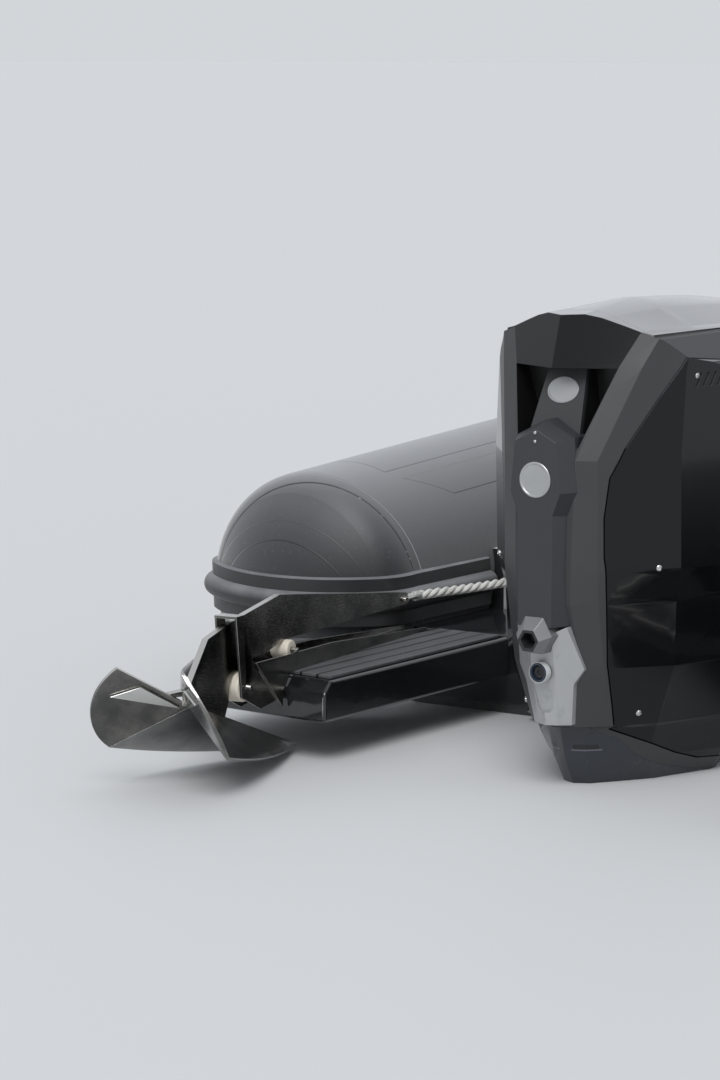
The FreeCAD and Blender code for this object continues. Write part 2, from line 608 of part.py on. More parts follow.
save("cleats", Part.makeCompound([
    cleat(620, 700, DECK_Z), cleat(620, -700, DECK_Z),
]))

# Stern anchor on its roller bracket, toed in from the side deck
ANCHOR_X, ANCHOR_Y, ANCHOR_TOE = -77, 836, 6.5
CHEEK_GAP, CHEEK_T = 30, 6
SHANK_T = 16


def placed(shape):
    """From the bracket's own plane, x along it from the tip of its arms, to the boat."""
    shape.rotate(ORIGIN, UP, ANCHOR_TOE)
    shape.translate(Vector(ANCHOR_X, ANCHOR_Y, 0))
    return shape


pad_top = DECK_Z + PAD
cheek_outline = [(-881, 255), (-754, 129), (-750, 172), (-712, pad_top), (-560, pad_top), (0, pad_top),
                 (0, pad_top + 8), (-505, 250)]
cheek = prism(cheek_outline, "XZ", CHEEK_GAP, CHEEK_GAP + CHEEK_T)
foot = block(-680, -20, -CHEEK_GAP, CHEEK_GAP, pad_top, pad_top + 5)
# The bail's straps carry the aft roller inside the cheeks and close over the shank
STRAP_T = 5
strap_outline = [(-962, 375), (-925, 375), (-880, 240), (-790, 205), (-752, 190), (-760, 150), (-850, 140),
                 (-938, 180)]
strap = prism(strap_outline, "XZ", CHEEK_GAP - STRAP_T, CHEEK_GAP)
bail = prism([(-962, 370), (-925, 370), (-925, 376), (-962, 376)], "XZ", -CHEEK_GAP, CHEEK_GAP)
# x, z, radius and pin radius of each roller
ROLLERS = [(-914, 202, 36, 6), (-689, 258, 24, 6)]
rollers, pins = [], []
roller_half = CHEEK_GAP - STRAP_T - 0.5
for x, z, radius, pin in ROLLERS:
    roller = rod(Vector(x, -roller_half, z), Vector(x, roller_half, z), radius)
    rollers.append(roller.cut(rod(Vector(x, -40, z), Vector(x, 40, z), pin + 0.05)))
    pins.append(rod(Vector(x, -CHEEK_GAP - CHEEK_T - 6, z), Vector(x, CHEEK_GAP + CHEEK_T + 6, z), pin))
bracket = cheek.fuse([cheek.mirror(ORIGIN, PORT), foot, strap, strap.mirror(ORIGIN, PORT), bail] + pins)
save("anchor_bracket", placed(bracket))
save("anchor_rollers", placed(Part.makeCompound(rollers)))
roller_top = [(x, z + radius + 2 * FIT) for x, z, radius, pin in ROLLERS]
shank_outline = [(-55, 311), (-717, 395), (-950, 360), (-1055, 335), (-1142, 232), (-1146, 192), (-985, 126),
                 (-962, 172), (-957, 215), (-940, 238)] + roller_top + [(-55, 283)]
shank = prism(shank_outline, "XZ", -SHANK_T / 2, SHANK_T / 2)
SHACKLE_R, SHACKLE_LONG = 6, 48
shank_eye = Vector(-76, 0, 297)
shank = shank.cut(rod(shank_eye - PORT * SHANK_T, shank_eye + PORT * SHANK_T, SHACKLE_R + 0.1))
shackle_half = SHANK_T / 2 + SHACKLE_R + 2
shackle_bow = shank_eye + Vector(SHACKLE_LONG, 0, 0)
aside = PORT * shackle_half
shackle = [rod(end - aside, end + aside, SHACKLE_R) for end in (shank_eye, shackle_bow)]
shackle += [rod(shank_eye + side, shackle_bow + side, SHACKLE_R) for side in (-aside, aside)]
shackle = shackle[0].fuse(shackle[1:])
# Fluke: a folded plate, two wings from the ridge to the tip and an upswept ear behind each
FLUKE_T = 8
tip = Vector(-630, 0, 14)
ridge = Vector(-1125, 0, 190)
corner = Vector(-1225, 160, 97)
wing_out = (corner + tip) * 0.5
wing_out += (wing_out - (ridge + tip) * 0.5).normalize() * 28
ear_top = Vector(-1300, 88, 298)
ear_out = ridge + (corner - ridge) * 0.63 + (ear_top - ridge) * 0.65
ear_root = ridge + (ear_top - ridge) * 0.12


def plate_of(edges, a, b, c):
    """Flat plate over a closed outline, as thick as the fluke."""
    across = (b - a).cross(c - a).normalize() * FLUKE_T
    face = Part.Face(Part.Wire(edges))
    face.translate(across * -0.5)
    return face.extrude(across)


wing = plate_of([Part.makeLine(tip, ridge), Part.makeLine(ridge, corner),
                 Part.Arc(corner, wing_out, tip).toShape()], tip, ridge, corner)
ear = plate_of([Part.makeLine(ridge, corner), Part.Arc(corner, ear_out, ear_top).toShape(),
                Part.makeLine(ear_top, ridge)], ridge, corner, ear_top)
brace_out = ridge + (corner - ridge) * 0.42 + (ear_top - ridge) * 0.5
brace_in = Vector(-1110, 0, 215)
brace = plate_of([Part.makeLine(brace_in, brace_out), Part.makeLine(brace_out, ear_root + UP * 25),
                  Part.makeLine(ear_root + UP * 25, brace_in)], brace_in, brace_out, ear_root + UP * 25)
port_fluke = [wing, ear, brace]
starboard_fluke = [piece.mirror(ORIGIN, PORT) for piece in port_fluke]
anchor = shank.fuse(port_fluke + starboard_fluke).removeSplitter()
save("anchor", placed(Part.makeCompound([anchor, shackle])))
shackle_end = placed(Part.Vertex(shackle_bow)).Point

# Rode: a rope from the shackle in the shank's eye to a post on the side deck, drawn tight
ROPE_R = 12
POST_X, POST_Y, POST_H, POST_R = 388, 800, 160, 15
post_profile = [(0, 0), (34, 0), (34, 7), (POST_R, 16), (POST_R, POST_H - 14), (POST_R + 6, POST_H - 10),
                (POST_R + 6, POST_H), (0, POST_H)]
post_corners = [Vector(POST_X + r, POST_Y, DECK_Z + z) for r, z in post_profile]
post = Part.Face(Part.makePolygon(post_corners + post_corners[:1]))
save("mooring_post", both_sides(post.revolve(Vector(POST_X, POST_Y, 0), UP, 360)))
rope_end = Vector(POST_X, POST_Y - POST_R - ROPE_R - FIT, DECK_Z + 98)
rope_way = (rope_end - shackle_end).normalize()
rope = [rod(shackle_end + rope_way * (SHACKLE_R + 3), rope_end, ROPE_R)]
for lift in (-1, 1):
    height = rope_end.z + lift * (2 * ROPE_R + 1)
    rope.append(Part.makeTorus(POST_R + ROPE_R + 0.1, ROPE_R, Vector(POST_X, POST_Y, height), UP))
save("anchor_rode", Part.makeCompound(rope))

# Clamp brackets on the transom, with the tilt tube
CLAMP_IN, CLAMP_OUT = 150, 185
clamp_side = [(-5, -330), (-90, -300), (-110, 100), (-75, 330), (20, 335), (70, 285), (70, TRANSOM_Z + FIT),
              (-FIT, TRANSOM_Z + FIT), (-FIT, -330)]
clamp = prism(clamp_side, "XZ", CLAMP_IN, CLAMP_OUT)
tilt_hole = rod(Vector(TILT_X, CLAMP_IN - 1, TILT_Z), Vector(TILT_X, CLAMP_OUT + 1, TILT_Z), 16.05)
# The ram's lower pin runs from clamp to clamp
RAM_X, RAM_Z = -30, -250
RAM_PIN_R = 10
clamp = clamp.cut(tilt_hole)
ram_pin = rod(Vector(RAM_X, -CLAMP_IN - 5, RAM_Z), Vector(RAM_X, CLAMP_IN + 5, RAM_Z), RAM_PIN_R)
save("clamp_brackets", clamp.fuse([other_side(clamp), ram_pin]))

# Swivel bracket: tilts on the tilt tube, carries the kingpin's housing and is slotted for the ram
HOUSING_R = 38
KING_R = 15
swivel_side = [(-45, 235), (15, 300), (-20, 320), (-190, 322), (-190, -305), (-160, -305), (-160, 120),
               (-110, 200)]
swivel_plan = [(-190, HOUSING_R), (-150, 60), (20, 60)]
swivel = prism(swivel_side, "XZ", -60, 60).common(prism(symmetric(swivel_plan), "XY", -400, 400))
housing = rod(Vector(STEER_X, 0, -305), Vector(STEER_X, 0, 322), HOUSING_R)
sleeve = rod(Vector(TILT_X, -140, TILT_Z), Vector(TILT_X, 140, TILT_Z), 32)
tilt_tube = rod(Vector(TILT_X, -CLAMP_OUT - 15, TILT_Z), Vector(TILT_X, CLAMP_OUT + 15, TILT_Z), 16)
EYE_X, EYE_Z = -125, 250
EYE_HALF, ROD_EYE_R = 14, 18
king_bore = rod(Vector(STEER_X, 0, -400), Vector(STEER_X, 0, 400), KING_R + RUNNING)
slot_side = [(-164, 40), (-164, 288), (-72, 288), (-60, 246), (40, 246), (40, 40)]
slot = prism(slot_side, "XZ", -EYE_HALF - 0.3, EYE_HALF + 0.3)
save("swivel_bracket", swivel.fuse([housing, sleeve, tilt_tube]).cut([slot, king_bore]))


# Motor
def lens(nose_x, tail_x, half, z):
    nose = Vector(nose_x, 0, z)
    tail = Vector(tail_x, 0, z)
    middle = (nose_x * 0.6 + tail_x * 0.4)
    return Part.Wire([Part.Arc(nose, Vector(middle, half, z), tail).toShape(),
                      Part.Arc(tail, Vector(middle, -half, z), nose).toShape()])


leg = Part.makeLoft([lens(-270, -640, 95, 0), lens(-290, -560, 45, SHAFT_Z + 40)], True, True)
plate_half = [(-230, 40), (-300, 95), (-560, 125), (-760, 110), (-790, 60)]
plate = prism(symmetric(plate_half), "XY", PLATE_Z - 5, PLATE_Z + 5)
lower_yoke = block(-400, -150, -45, 45, -345, -315)
upper_yoke = block(-420, -130, -60, 60, 329, 352)
kingpin = rod(Vector(STEER_X, 0, -345), Vector(STEER_X, 0, 352), KING_R)
link = block(-420, -235, -60, 60, 0, 352)
save("midsection", leg.fuse([plate, lower_yoke, upper_yoke, link, kingpin]))
torpedo_outline = [Vector(-100, 0, SHAFT_Z), Vector(-160, 0, SHAFT_Z + 42), Vector(-260, 0, SHAFT_Z + 56),
                   Vector(-600, 0, SHAFT_Z + 56), Vector(-625, 0, SHAFT_Z + 50), Vector(-625, 0, SHAFT_Z)]
torpedo = Part.Face(Part.makePolygon(torpedo_outline + torpedo_outline[:1]))
torpedo = torpedo.revolve(Vector(0, 0, SHAFT_Z), Vector(1, 0, 0), 360)
skeg = prism([(-300, SHAFT_Z - 40), (-560, SHAFT_Z - 40), (-600, SKEG_Z), (-470, SKEG_Z)], "XZ", -6, 6)
SHAFT_R = 12
prop_shaft = rod(Vector(-600, 0, SHAFT_Z), Vector(-806, 0, SHAFT_Z), SHAFT_R)
gearcase = torpedo.fuse([skeg, prop_shaft]).cut(leg)
save("gearcase", gearcase)

# Propeller: a hub and blades of flat sections turned to the pitch
PROP_X = -715
hub = Part.makeCylinder(46, 170, Vector(PROP_X + 85 - 0.5, 0, SHAFT_Z), Vector(-1, 0, 0))
# radius, chord, thickness
BLADE = [(38, 120, 14), (90, 150, 10), (145, 140, 7), (PROP_R, 60, 4)]
sections = []
for radius, chord, thick in BLADE:
    pitch = math.atan(PROP_PITCH / (2 * math.pi * radius))
    along = Vector(math.sin(pitch), math.cos(pitch), 0)
    across = Vector(-math.cos(pitch), math.sin(pitch), 0)
    centre = Vector(PROP_X, 0, SHAFT_Z + radius)
    corners = [centre + along * a * chord / 2 + across * b * thick / 2
               for a, b in ((-1, 0), (0, -1), (1, 0), (0, 1))]
    sections.append(Part.makePolygon(corners + corners[:1]))
blade = Part.makeLoft(sections, True, True)
blades = []
for number in range(BLADES):
    turned_blade = blade.copy()
    turned_blade.rotate(Vector(0, 0, SHAFT_Z), Vector(1, 0, 0), 360 / BLADES * number)
    blades.append(turned_blade)
shaft_bore = rod(Vector(-600, 0, SHAFT_Z), Vector(-900, 0, SHAFT_Z), SHAFT_R + RUNNING)
save("propeller", hub.fuse(blades).cut(shaft_bore))

# Cowl: a faceted shell lofted through level outlines, with arms either side of a recess at the back
# z, then x and half-width of the aft middle, inner arm edge, aft fold, flank, widest point and front corners
COWL_LEVELS = [
    (0, (-657, 0), (-638, 36), (-560, 88), (-500, 125), (-330, 180), (-150, 165), (-90, 100)),
    (60, (-690, 0), (-668, 44), (-606, 92), (-550, 137), (-340, 222), (-100, 210), (-40, 130)),
    (140, (-715, 0), (-692, 48), (-664, 95), (-570, 170), (-350, 252), (-80, 235), (0, 143)),
    (148, (-752, 0), (-728, 52), (-666, 110), (-573, 175), (-350, 256), (-78, 238), (4, 144)),
    (290, (-782, 0), (-750, 80), (-722, 120), (-585, 226), (-350, 286), (-64, 253), (40, 160)),
    (440, (-800, 0), (-792, 72), (-752, 121), (-590, 232), (-350, 290), (-62, 255), (46, 162)),
    (520, (-802, 0), (-795, 74), (-761, 124), (-600, 249), (-350, 292), (-61, 258), (47, 163)),
    (771, (-800, 0), (-789, 80), (-766, 124), (-607, 250), (-350, 292), (-60, 262), (48, 165)),
    (976, (-764, 0), (-700, 135), (-678, 184), (-590, 252), (-350, 288), (-60, 258), (44, 160)),
    (1130, (-717, 0), (-616, 197), (-592, 238), (-540, 262), (-350, 280), (-70, 250), (30, 155)),
]
COWL_SIDE = [(-900, 1080), (-728, 1095), (-430, 1118), (-180, 1112), (20, 1090), (52, 1010), (52, 480),
             (0, 400), (-150, 365), (-290, 345), (-300, -5), (-900, -5)]
# Top panel's crown at three stations: x, then its height at the middle, halfway out and at the edge
TOP_STATIONS = [(-900, 1100, 1079, 1059), (-430, 1121, 1101, 1057), (100, 1096, 1080, 1052)]
TOP_HALF = 170
# Half outlines across the boat: the frame's crown under the top panel, and the chin's upper edge
FRAME_CROWN = [(320, 0), (320, 880), (266, 985), (212, 1042), (TOP_HALF + 2, 1055), (110, 1060), (0, 1078)]
CHIN = [(190, -5), (170, 8), (148, 31), (120, 72), (105, 113), (50, 147), (0, 150)]
PANEL_T = 10
VISOR_X = -640


def cowl_loft(inset):
    wires = []
    for z, *row in COWL_LEVELS:
        aft = [(x + inset, max(y - inset, 0)) for x, y in row[:3]]
        half = aft + [(x, y - inset) for x, y in row[3:]]
        outline = half + [(x, -y) for x, y in reversed(half[1:])]
        corners = [Vector(x, y, z) for x, y in outline]
        wires.append(Part.makePolygon(corners + corners[:1]))
    return Part.makeLoft(wires, True, True).common(prism(COWL_SIDE, "XZ", -400, 400))


def across_boat(half, x0, x1):
    return prism(symmetric_front(half), "YZ", x0, x1)


def ruled(sections):
    """Straight-sided loft through closed sections, each a list of corners."""
    return Part.makeLoft([Part.makePolygon(corners + corners[:1]) for corners in sections], True, True)


cowl = cowl_loft(0)
frame_room = across_boat(FRAME_CROWN, -900, 100)
chin = across_boat(CHIN, -900, 100)
swivel_room = rod(Vector(STEER_X, 0, -5), Vector(STEER_X, 0, 340), 90)
inner_mounts = [block(-421, -100, -100, 100, -20, 375), king_bore, swivel_room]
save("lower_cowl", cowl.common(chin).cut(inner_mounts))

top_sections = []
for x, middle, halfway, edge in TOP_STATIONS:
    half = [(TOP_HALF + 26, 1000), (TOP_HALF + 26, edge - 6), (TOP_HALF, edge), (TOP_HALF / 2, halfway),
            (0, middle)]
    top_sections.append([Vector(x, y, z) for y, z in symmetric_front(half)])
top_room = ruled(top_sections)
visor_room = across_boat([(135, 976), (168, 1056), (168, 1200)], -900, VISOR_X)
save("cowl_visor", cowl.common(visor_room).common(top_room.fuse(frame_room)))
save("cowl_top", cowl.common(top_room).cut([frame_room, visor_room]))

# Side panels: gloss skins let into the flanks with a narrow gap all round and louvres along the top
panel_outline = [(-588, 1000), (-641, 920), (-713, 800), (-743, 732), (-752, 641), (-750, 550), (-717, 294),
                 (-682, 200), (-660, 138), (-568, 98), (-475, 61), (-400, 39), (-320, 34), (-310, 328),
                 (-160, 376), (-12, 412), (20, 500), (20, 900), (-60, 955)]
panel_corners = [Vector(x, 0, z) for x, z in panel_outline]
panel_face = Part.Face(Part.makePolygon(panel_corners + panel_corners[:1]))


def panel_skin(shrink):
    face = panel_face.makeOffset2D(-shrink, 2) if shrink else panel_face
    slab = face.extrude(PORT * 800)
    slab.translate(PORT * -400)
    return skin.common(slab)


skin = cowl.cut(cowl_loft(PANEL_T)).common(frame_room).cut(chin)
pocket = panel_skin(0)
louvres = [prism([(x, 930), (x + 9, 930), (x + 29, 962), (x + 20, 962)], "XZ", -400, 400)
           for x in range(-560, -60, 26)]
save("cowl_side_panels", panel_skin(3).cut(louvres))

# Frame: everything between the panels, with the recess under the visor and the strut inside it
RECESS_X = -650
STRUT_X = -762
recess = across_boat([(80, 800), (135, 976)], -900, RECESS_X)
strut = prism([(RECESS_X, 976), (-692, 976), (STRUT_X, 800), (RECESS_X, 800)], "XZ", -80, 80)
strut = strut.common(across_boat([(70, 800), (50, 976)], -900, RECESS_X))
power_room = block(-560, -60, -180, 180, 420, 980)
frame = cowl.common(frame_room).cut([chin, visor_room, recess, pocket, power_room] + inner_mounts).fuse(strut)
save("cowl_frame", frame)
save("powerhead", block(-560 + 10, -60 - 10, -170, 170, 420, 970))

# Spine down the back, its middle flat and its flanks sloped
SPINE_X, SPINE_FOOT, SPINE_LOW = -832, -785, 392
spine_back = [(54, 814), (66, 700), (46, 648), (44, SPINE_LOW)]
spine_foot = [(75, 824), (86, 700), (66, 644), (64, SPINE_LOW)]


def spine_outline(x, apex, half):
    return [Vector(x, y, z) for y, z in [(0, apex)] + half + [(-y, z) for y, z in reversed(half)]]


foot_corners = spine_outline(SPINE_FOOT, 862, spine_foot)
foot_face = Part.Face(Part.makePolygon(foot_corners + foot_corners[:1]))
root = foot_face.extrude(Vector(STRUT_X + 30 - SPINE_FOOT, 0, 0))
spine = ruled([spine_outline(SPINE_X, 842, spine_back), foot_corners]).fuse(root).cut(frame)

# Cooling outlet: a six-sided spout that tapers aft from the foot of the spine
SPOUT_ROOT, SPOUT_MOUTH, SPOUT_BORE = 48, 28, 20
SPOUT_END = SPINE_X - 26
SPOUT_Z = 372
MOUTH_Z = SPOUT_Z - 10


def six_sides(x, z, radius):
    turns = [math.radians(60 * k) for k in range(6)]
    return [Vector(x, radius * math.cos(turn), z + radius * math.sin(turn)) for turn in turns]


spout_room = ruled([six_sides(x, SPOUT_Z, SPOUT_ROOT) for x in (SPINE_X - 30, SPINE_FOOT)])
spout = ruled([six_sides(SPOUT_END, MOUTH_Z, SPOUT_MOUTH), six_sides(SPINE_X, SPOUT_Z, SPOUT_ROOT),
               six_sides(SPINE_FOOT, SPOUT_Z, SPOUT_ROOT)])
outlet = ruled([six_sides(SPOUT_END - 1, MOUTH_Z, SPOUT_BORE), six_sides(SPINE_X + 12, SPOUT_Z, SPOUT_BORE)])
save("cowl_spine", spine.cut(spout_room).fuse(spout.cut(frame)).cut(outlet))

# Lower panel: a pointed shield with a crowned face, a notch for the spout and a well for the flushing port
shield = [(44, 380), (66, SPINE_LOW - FIT), (87, 290), (64, 254), (50, 156)]
shield_top = [(-826, 0), (-818, 38), (-799, 68), (-775, 95), (-700, 95)]
shield_foot = [(-778, 0), (-766, 25), (-746, 49), (-712, 95), (-640, 95)]
shield_room = ruled([[Vector(x, y, z) for x, y in half + [(x, -y) for x, y in reversed(half[1:])]]
                     for half, z in ((shield_top, 400), (shield_foot, 150))])
spout_gap = ruled([six_sides(x, SPOUT_Z, SPOUT_ROOT + FIT) for x in (SPINE_X - 30, -700)])
PORT_R, PORT_Z = 25, 283
port_well = Part.makeCylinder(PORT_R, 22, Vector(-815, 0, PORT_Z), Vector(1, 0, 0))
panel = prism(shield + [(-y, z) for y, z in reversed(shield)], "YZ", -860, -640).common(shield_room)
save("cowl_panel", panel.cut([frame, cowl.common(chin), spout_gap, port_well]))

# Tilt ram between the clamp brackets
ram_foot = Vector(RAM_X, 0, RAM_Z)
ram_eye = Vector(EYE_X, 0, EYE_Z)
way = (ram_eye - ram_foot).normalize()
BARREL_R, BARREL_LEN, ROD_R = 24, 290, 12
barrel = Part.makeCylinder(BARREL_R, BARREL_LEN, ram_foot + way * 30, way)
foot_eye = rod(Vector(RAM_X, -20, RAM_Z), Vector(RAM_X, 20, RAM_Z), 22)
neck = rod(ram_foot, ram_foot + way * 40, 14)
rod_bore = rod(ram_foot + way * 45, ram_eye, ROD_R + RUNNING)
foot_bore = rod(Vector(RAM_X, -30, RAM_Z), Vector(RAM_X, 30, RAM_Z), RAM_PIN_R + RUNNING)
save("ram_cylinder", barrel.fuse([foot_eye, neck]).cut([rod_bore, foot_bore]))
rod_bar = rod(ram_foot + way * 62, ram_eye, ROD_R)
eye = rod(Vector(EYE_X, -EYE_HALF, EYE_Z), Vector(EYE_X, EYE_HALF, EYE_Z), ROD_EYE_R)
save("ram_rod", rod_bar.fuse(eye))
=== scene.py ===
import json
import math
import bmesh
import bpy
from mathutils import Matrix, Vector
from mathutils.bvhtree import BVHTree

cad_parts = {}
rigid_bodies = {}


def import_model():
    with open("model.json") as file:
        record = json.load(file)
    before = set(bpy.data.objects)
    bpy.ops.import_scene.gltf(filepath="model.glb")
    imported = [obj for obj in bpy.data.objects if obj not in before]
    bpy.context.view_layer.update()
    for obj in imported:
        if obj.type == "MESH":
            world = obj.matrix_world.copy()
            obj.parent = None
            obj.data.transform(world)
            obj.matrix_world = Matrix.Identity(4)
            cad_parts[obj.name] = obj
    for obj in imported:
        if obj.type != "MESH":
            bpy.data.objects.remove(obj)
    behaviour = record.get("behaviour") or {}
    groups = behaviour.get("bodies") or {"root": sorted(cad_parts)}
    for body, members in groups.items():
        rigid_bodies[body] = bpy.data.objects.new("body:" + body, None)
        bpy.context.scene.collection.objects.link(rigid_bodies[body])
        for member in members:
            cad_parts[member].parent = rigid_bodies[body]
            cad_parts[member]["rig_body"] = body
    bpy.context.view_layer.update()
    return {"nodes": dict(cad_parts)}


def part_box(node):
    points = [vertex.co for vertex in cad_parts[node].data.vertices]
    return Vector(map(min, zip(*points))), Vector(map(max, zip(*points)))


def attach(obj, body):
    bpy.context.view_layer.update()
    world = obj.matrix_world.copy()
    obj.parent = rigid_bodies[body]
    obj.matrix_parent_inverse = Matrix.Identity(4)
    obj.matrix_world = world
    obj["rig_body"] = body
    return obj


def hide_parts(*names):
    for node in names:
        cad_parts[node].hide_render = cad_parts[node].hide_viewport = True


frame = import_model()
nodes = frame["nodes"]

# The view from the quay, a little above the boat's starboard quarter, through a long lens.
# The frame is 720 by 1080, and its horizon lies near the top edge.
LENS_MM = 119.03
SENSOR_MM = 36
FARTHEST = 900
EYE = Vector((-7.63, -4.26, 1.69))
HEADING, DIP = 34.9, 7.813
camera = bpy.data.objects.new("camera", bpy.data.cameras.new("camera"))
camera.data.lens = LENS_MM
camera.data.sensor_fit = "VERTICAL"
camera.data.sensor_height = SENSOR_MM
camera.data.clip_end = FARTHEST
camera.location = EYE
camera.rotation_euler = (math.radians(90 - DIP), 0, math.radians(HEADING - 90))
bpy.context.scene.collection.objects.link(camera)
bpy.context.scene.camera = camera

# Studio: a pale floor at the waterline, an even sky, and one wide soft lamp high behind the camera.
# The sky is brighter to the eye and in reflections than it is as a lamp.
SKY_LAMP, SKY_SEEN = (0.62, 0.65, 0.69), (0.645, 0.668, 0.695)
LAMP_POWER, LAMP_SPREAD = 1.9, 35
LAMP_WAY = Vector((0.58, 0.28, -0.76))
FLOOR_SIZE = 400
FLOOR_COLOUR = (0.60, 0.605, 0.61)
world = bpy.data.worlds.new("sky")
bpy.context.scene.world = world
world.use_nodes = True
bpy.context.scene.view_settings.view_transform = "Standard"


class Wire:
    """One output of a shader node. Sums and products of wires add Math nodes."""

    def __init__(self, socket):
        self.socket = socket

    def node(self, kind, settings, inputs, output=0):
        """Adds a node: its settings first, then its sockets' values or wires."""
        tree = self.socket.id_data
        made = tree.nodes.new(kind)
        for name, value in settings.items():
            setattr(made, name, value)
        for name, value in inputs.items():
            if isinstance(value, Wire):
                tree.links.new(value.socket, made.inputs[name])
            else:
                made.inputs[name].default_value = value
        return Wire(made.outputs[output])

    def maths(self, operation, *others):
        return self.node("ShaderNodeMath", {"operation": operation}, dict(enumerate((self, *others))))

    def __add__(self, other):
        return self.maths("ADD", other)

    def __mul__(self, other):
        return self.maths("MULTIPLY", other)

    def __sub__(self, other):
        return self.maths("SUBTRACT", other)

    def __rsub__(self, other):
        return self.node("ShaderNodeMath", {"operation": "SUBTRACT"}, {0: other, 1: self})

    __radd__, __rmul__ = __add__, __mul__

    def axes(self):
        """The three parts of a vector."""
        parts = self.node("ShaderNodeSeparateXYZ", {}, {0: self}).socket.node.outputs
        return [Wire(part) for part in parts]

    def noise(self, scale, detail=3.0, roughness=0.55):
        """Cloudy grey, its largest clouds about a metre divided by scale."""
        return self.node("ShaderNodeTexNoise", {},
                         {"Vector": self, "Scale": scale, "Detail": detail, "Roughness": roughness})

    def step(self, low, high):
        """0 below low, 1 above high, and a smooth climb between."""
        return self.node("ShaderNodeMapRange", {"interpolation_type": "SMOOTHSTEP"},
                         {"Value": self, "From Min": low, "From Max": high})

    def near(self, centre, half, fade):
        """1 within half of centre, falling to 0 over fade."""
        return 1 - (self - centre).maths("ABSOLUTE").step(half, half + fade)

    def blend(self, dark, light):
        """A colour between two, this wire being the share of the second."""
        def rgba(colour):
            return colour if isinstance(colour, Wire) else (*colour, 1)
        return self.node("ShaderNodeMix", {"data_type": "RGBA"}, {"Factor": self, 6: rgba(dark), 7: rgba(light)}, 2)

    def facing_up(self):
        """How far the surface looks upward, from 0 at upright to 1 at level."""
        tree = self.socket.id_data
        return Wire(tree.nodes.new("ShaderNodeNewGeometry").outputs["Normal"]).axes()[2].maths("MAXIMUM", 0.0)

    def bump(self, depth):
        """A surface normal raised by this wire times depth in metres."""
        return self.node("ShaderNodeBump", {}, {"Height": self, "Distance": depth})


sky = world.node_tree
seen = Wire(sky.nodes.new("ShaderNodeLightPath").outputs["Is Camera Ray"])
path = seen.socket.node.outputs
shown = seen.maths("MAXIMUM", Wire(path["Is Glossy Ray"])).maths("MAXIMUM", Wire(path["Is Transmission Ray"]))
sky.links.new(shown.blend(SKY_LAMP, SKY_SEEN).socket, sky.nodes["Background"].inputs["Color"])
lamp = bpy.data.objects.new("lamp", bpy.data.lights.new("lamp", "SUN"))
lamp.data.energy = LAMP_POWER
lamp.data.angle = math.radians(LAMP_SPREAD)
lamp.rotation_euler = LAMP_WAY.to_track_quat("-Z", "Y").to_euler()
bpy.context.scene.collection.objects.link(lamp)


def material(name):
    """A new material, its surface shader, and the wire of the piece's own coordinates in metres."""
    made = bpy.data.materials.new(name)
    made.use_nodes = True
    shader = made.node_tree.nodes["Principled BSDF"]
    place = Wire(made.node_tree.nodes.new("ShaderNodeTexCoord").outputs["Object"])
    return made, shader, place


def give(shader, **values):
    """Sets sockets of a surface shader, each by a wire or a plain value. Names are written with underscores."""
    for name, value in values.items():
        socket = shader.inputs[name.replace("_", " ")]
        if isinstance(value, Wire):
            shader.id_data.links.new(value.socket, socket)
        else:
            socket.default_value = (*value, 1) if isinstance(value, tuple) else value


bm = bmesh.new()
bmesh.ops.create_grid(bm, x_segments=1, y_segments=1, size=FLOOR_SIZE)
floor = bpy.data.objects.new("floor", bpy.data.meshes.new("floor"))
bm.to_mesh(floor.data)
bm.free()
bpy.context.scene.collection.objects.link(floor)
paint, shader, place = material("floor")
give(shader, Base_Color=FLOOR_COLOUR, Roughness=0.6)
floor.data.materials.append(paint)

# Inflated tubes: heavy rubber-coated fabric, cut in panels and glued with lapped seams and tapes.
# A domed cap closes each tube astern, and a wear patch lies along the top.
CAP_SEAM = (0.200, 0.121, -0.2124)
CAP_TAPE = 0.032
CAP_CENTRE = (1.19, 0.20)
CAP_RINGS = (0.223, 0.272)
PATCH_EDGES = (0.9645, 1.037)
PATCH_AFT, PATCH_AHEAD, PATCH_SLANT = 0.1696, 0.92, 1.84
UNDER_PATCH_EDGES, UNDER_PATCH_AFT, UNDER_PATCH_AHEAD = (1.0775, 1.30), 0.135, 1.03
PATCH_LOW = 0.3
LAP = 0.003
PANEL_SEAMS = (1.62, 2.74, 3.86, 4.90)


def wear(name, paint):
    """Gives a carried-over piece its finish."""
    mesh = nodes[name].data
    mesh.materials.clear()
    mesh.materials.append(paint)


paint, shader, place = material("coated_fabric")
x, y, z = place.axes()
side = y.maths("ABSOLUTE")
cap_plane = x + side * CAP_SEAM[0] + z * CAP_SEAM[1] + CAP_SEAM[2]
aside, above = side - CAP_CENTRE[0], z - CAP_CENTRE[1]
from_axis = (aside * aside + above * above).maths("SQRT")
on_cap = 1 - cap_plane.step(-0.02, 0.0)
tape = cap_plane.step(-LAP, 0.0) * (1 - cap_plane.step(CAP_TAPE, CAP_TAPE + LAP))
ring = on_cap * (1 - from_axis.step(CAP_RINGS[0], CAP_RINGS[0] + LAP))
rings = ring + on_cap * (1 - from_axis.step(CAP_RINGS[1], CAP_RINGS[1] + LAP)) * 0.5
ends = (side - PATCH_EDGES[1]) * PATCH_SLANT
aft_end, ahead_end = x - PATCH_AFT + ends, PATCH_AHEAD - x + ends
patch = (side.step(PATCH_EDGES[0], PATCH_EDGES[0] + LAP) * (1 - side.step(PATCH_EDGES[1], PATCH_EDGES[1] + LAP))
         * aft_end.step(0.0, LAP) * ahead_end.step(0.0, LAP) * z.step(PATCH_LOW, PATCH_LOW + 0.01))
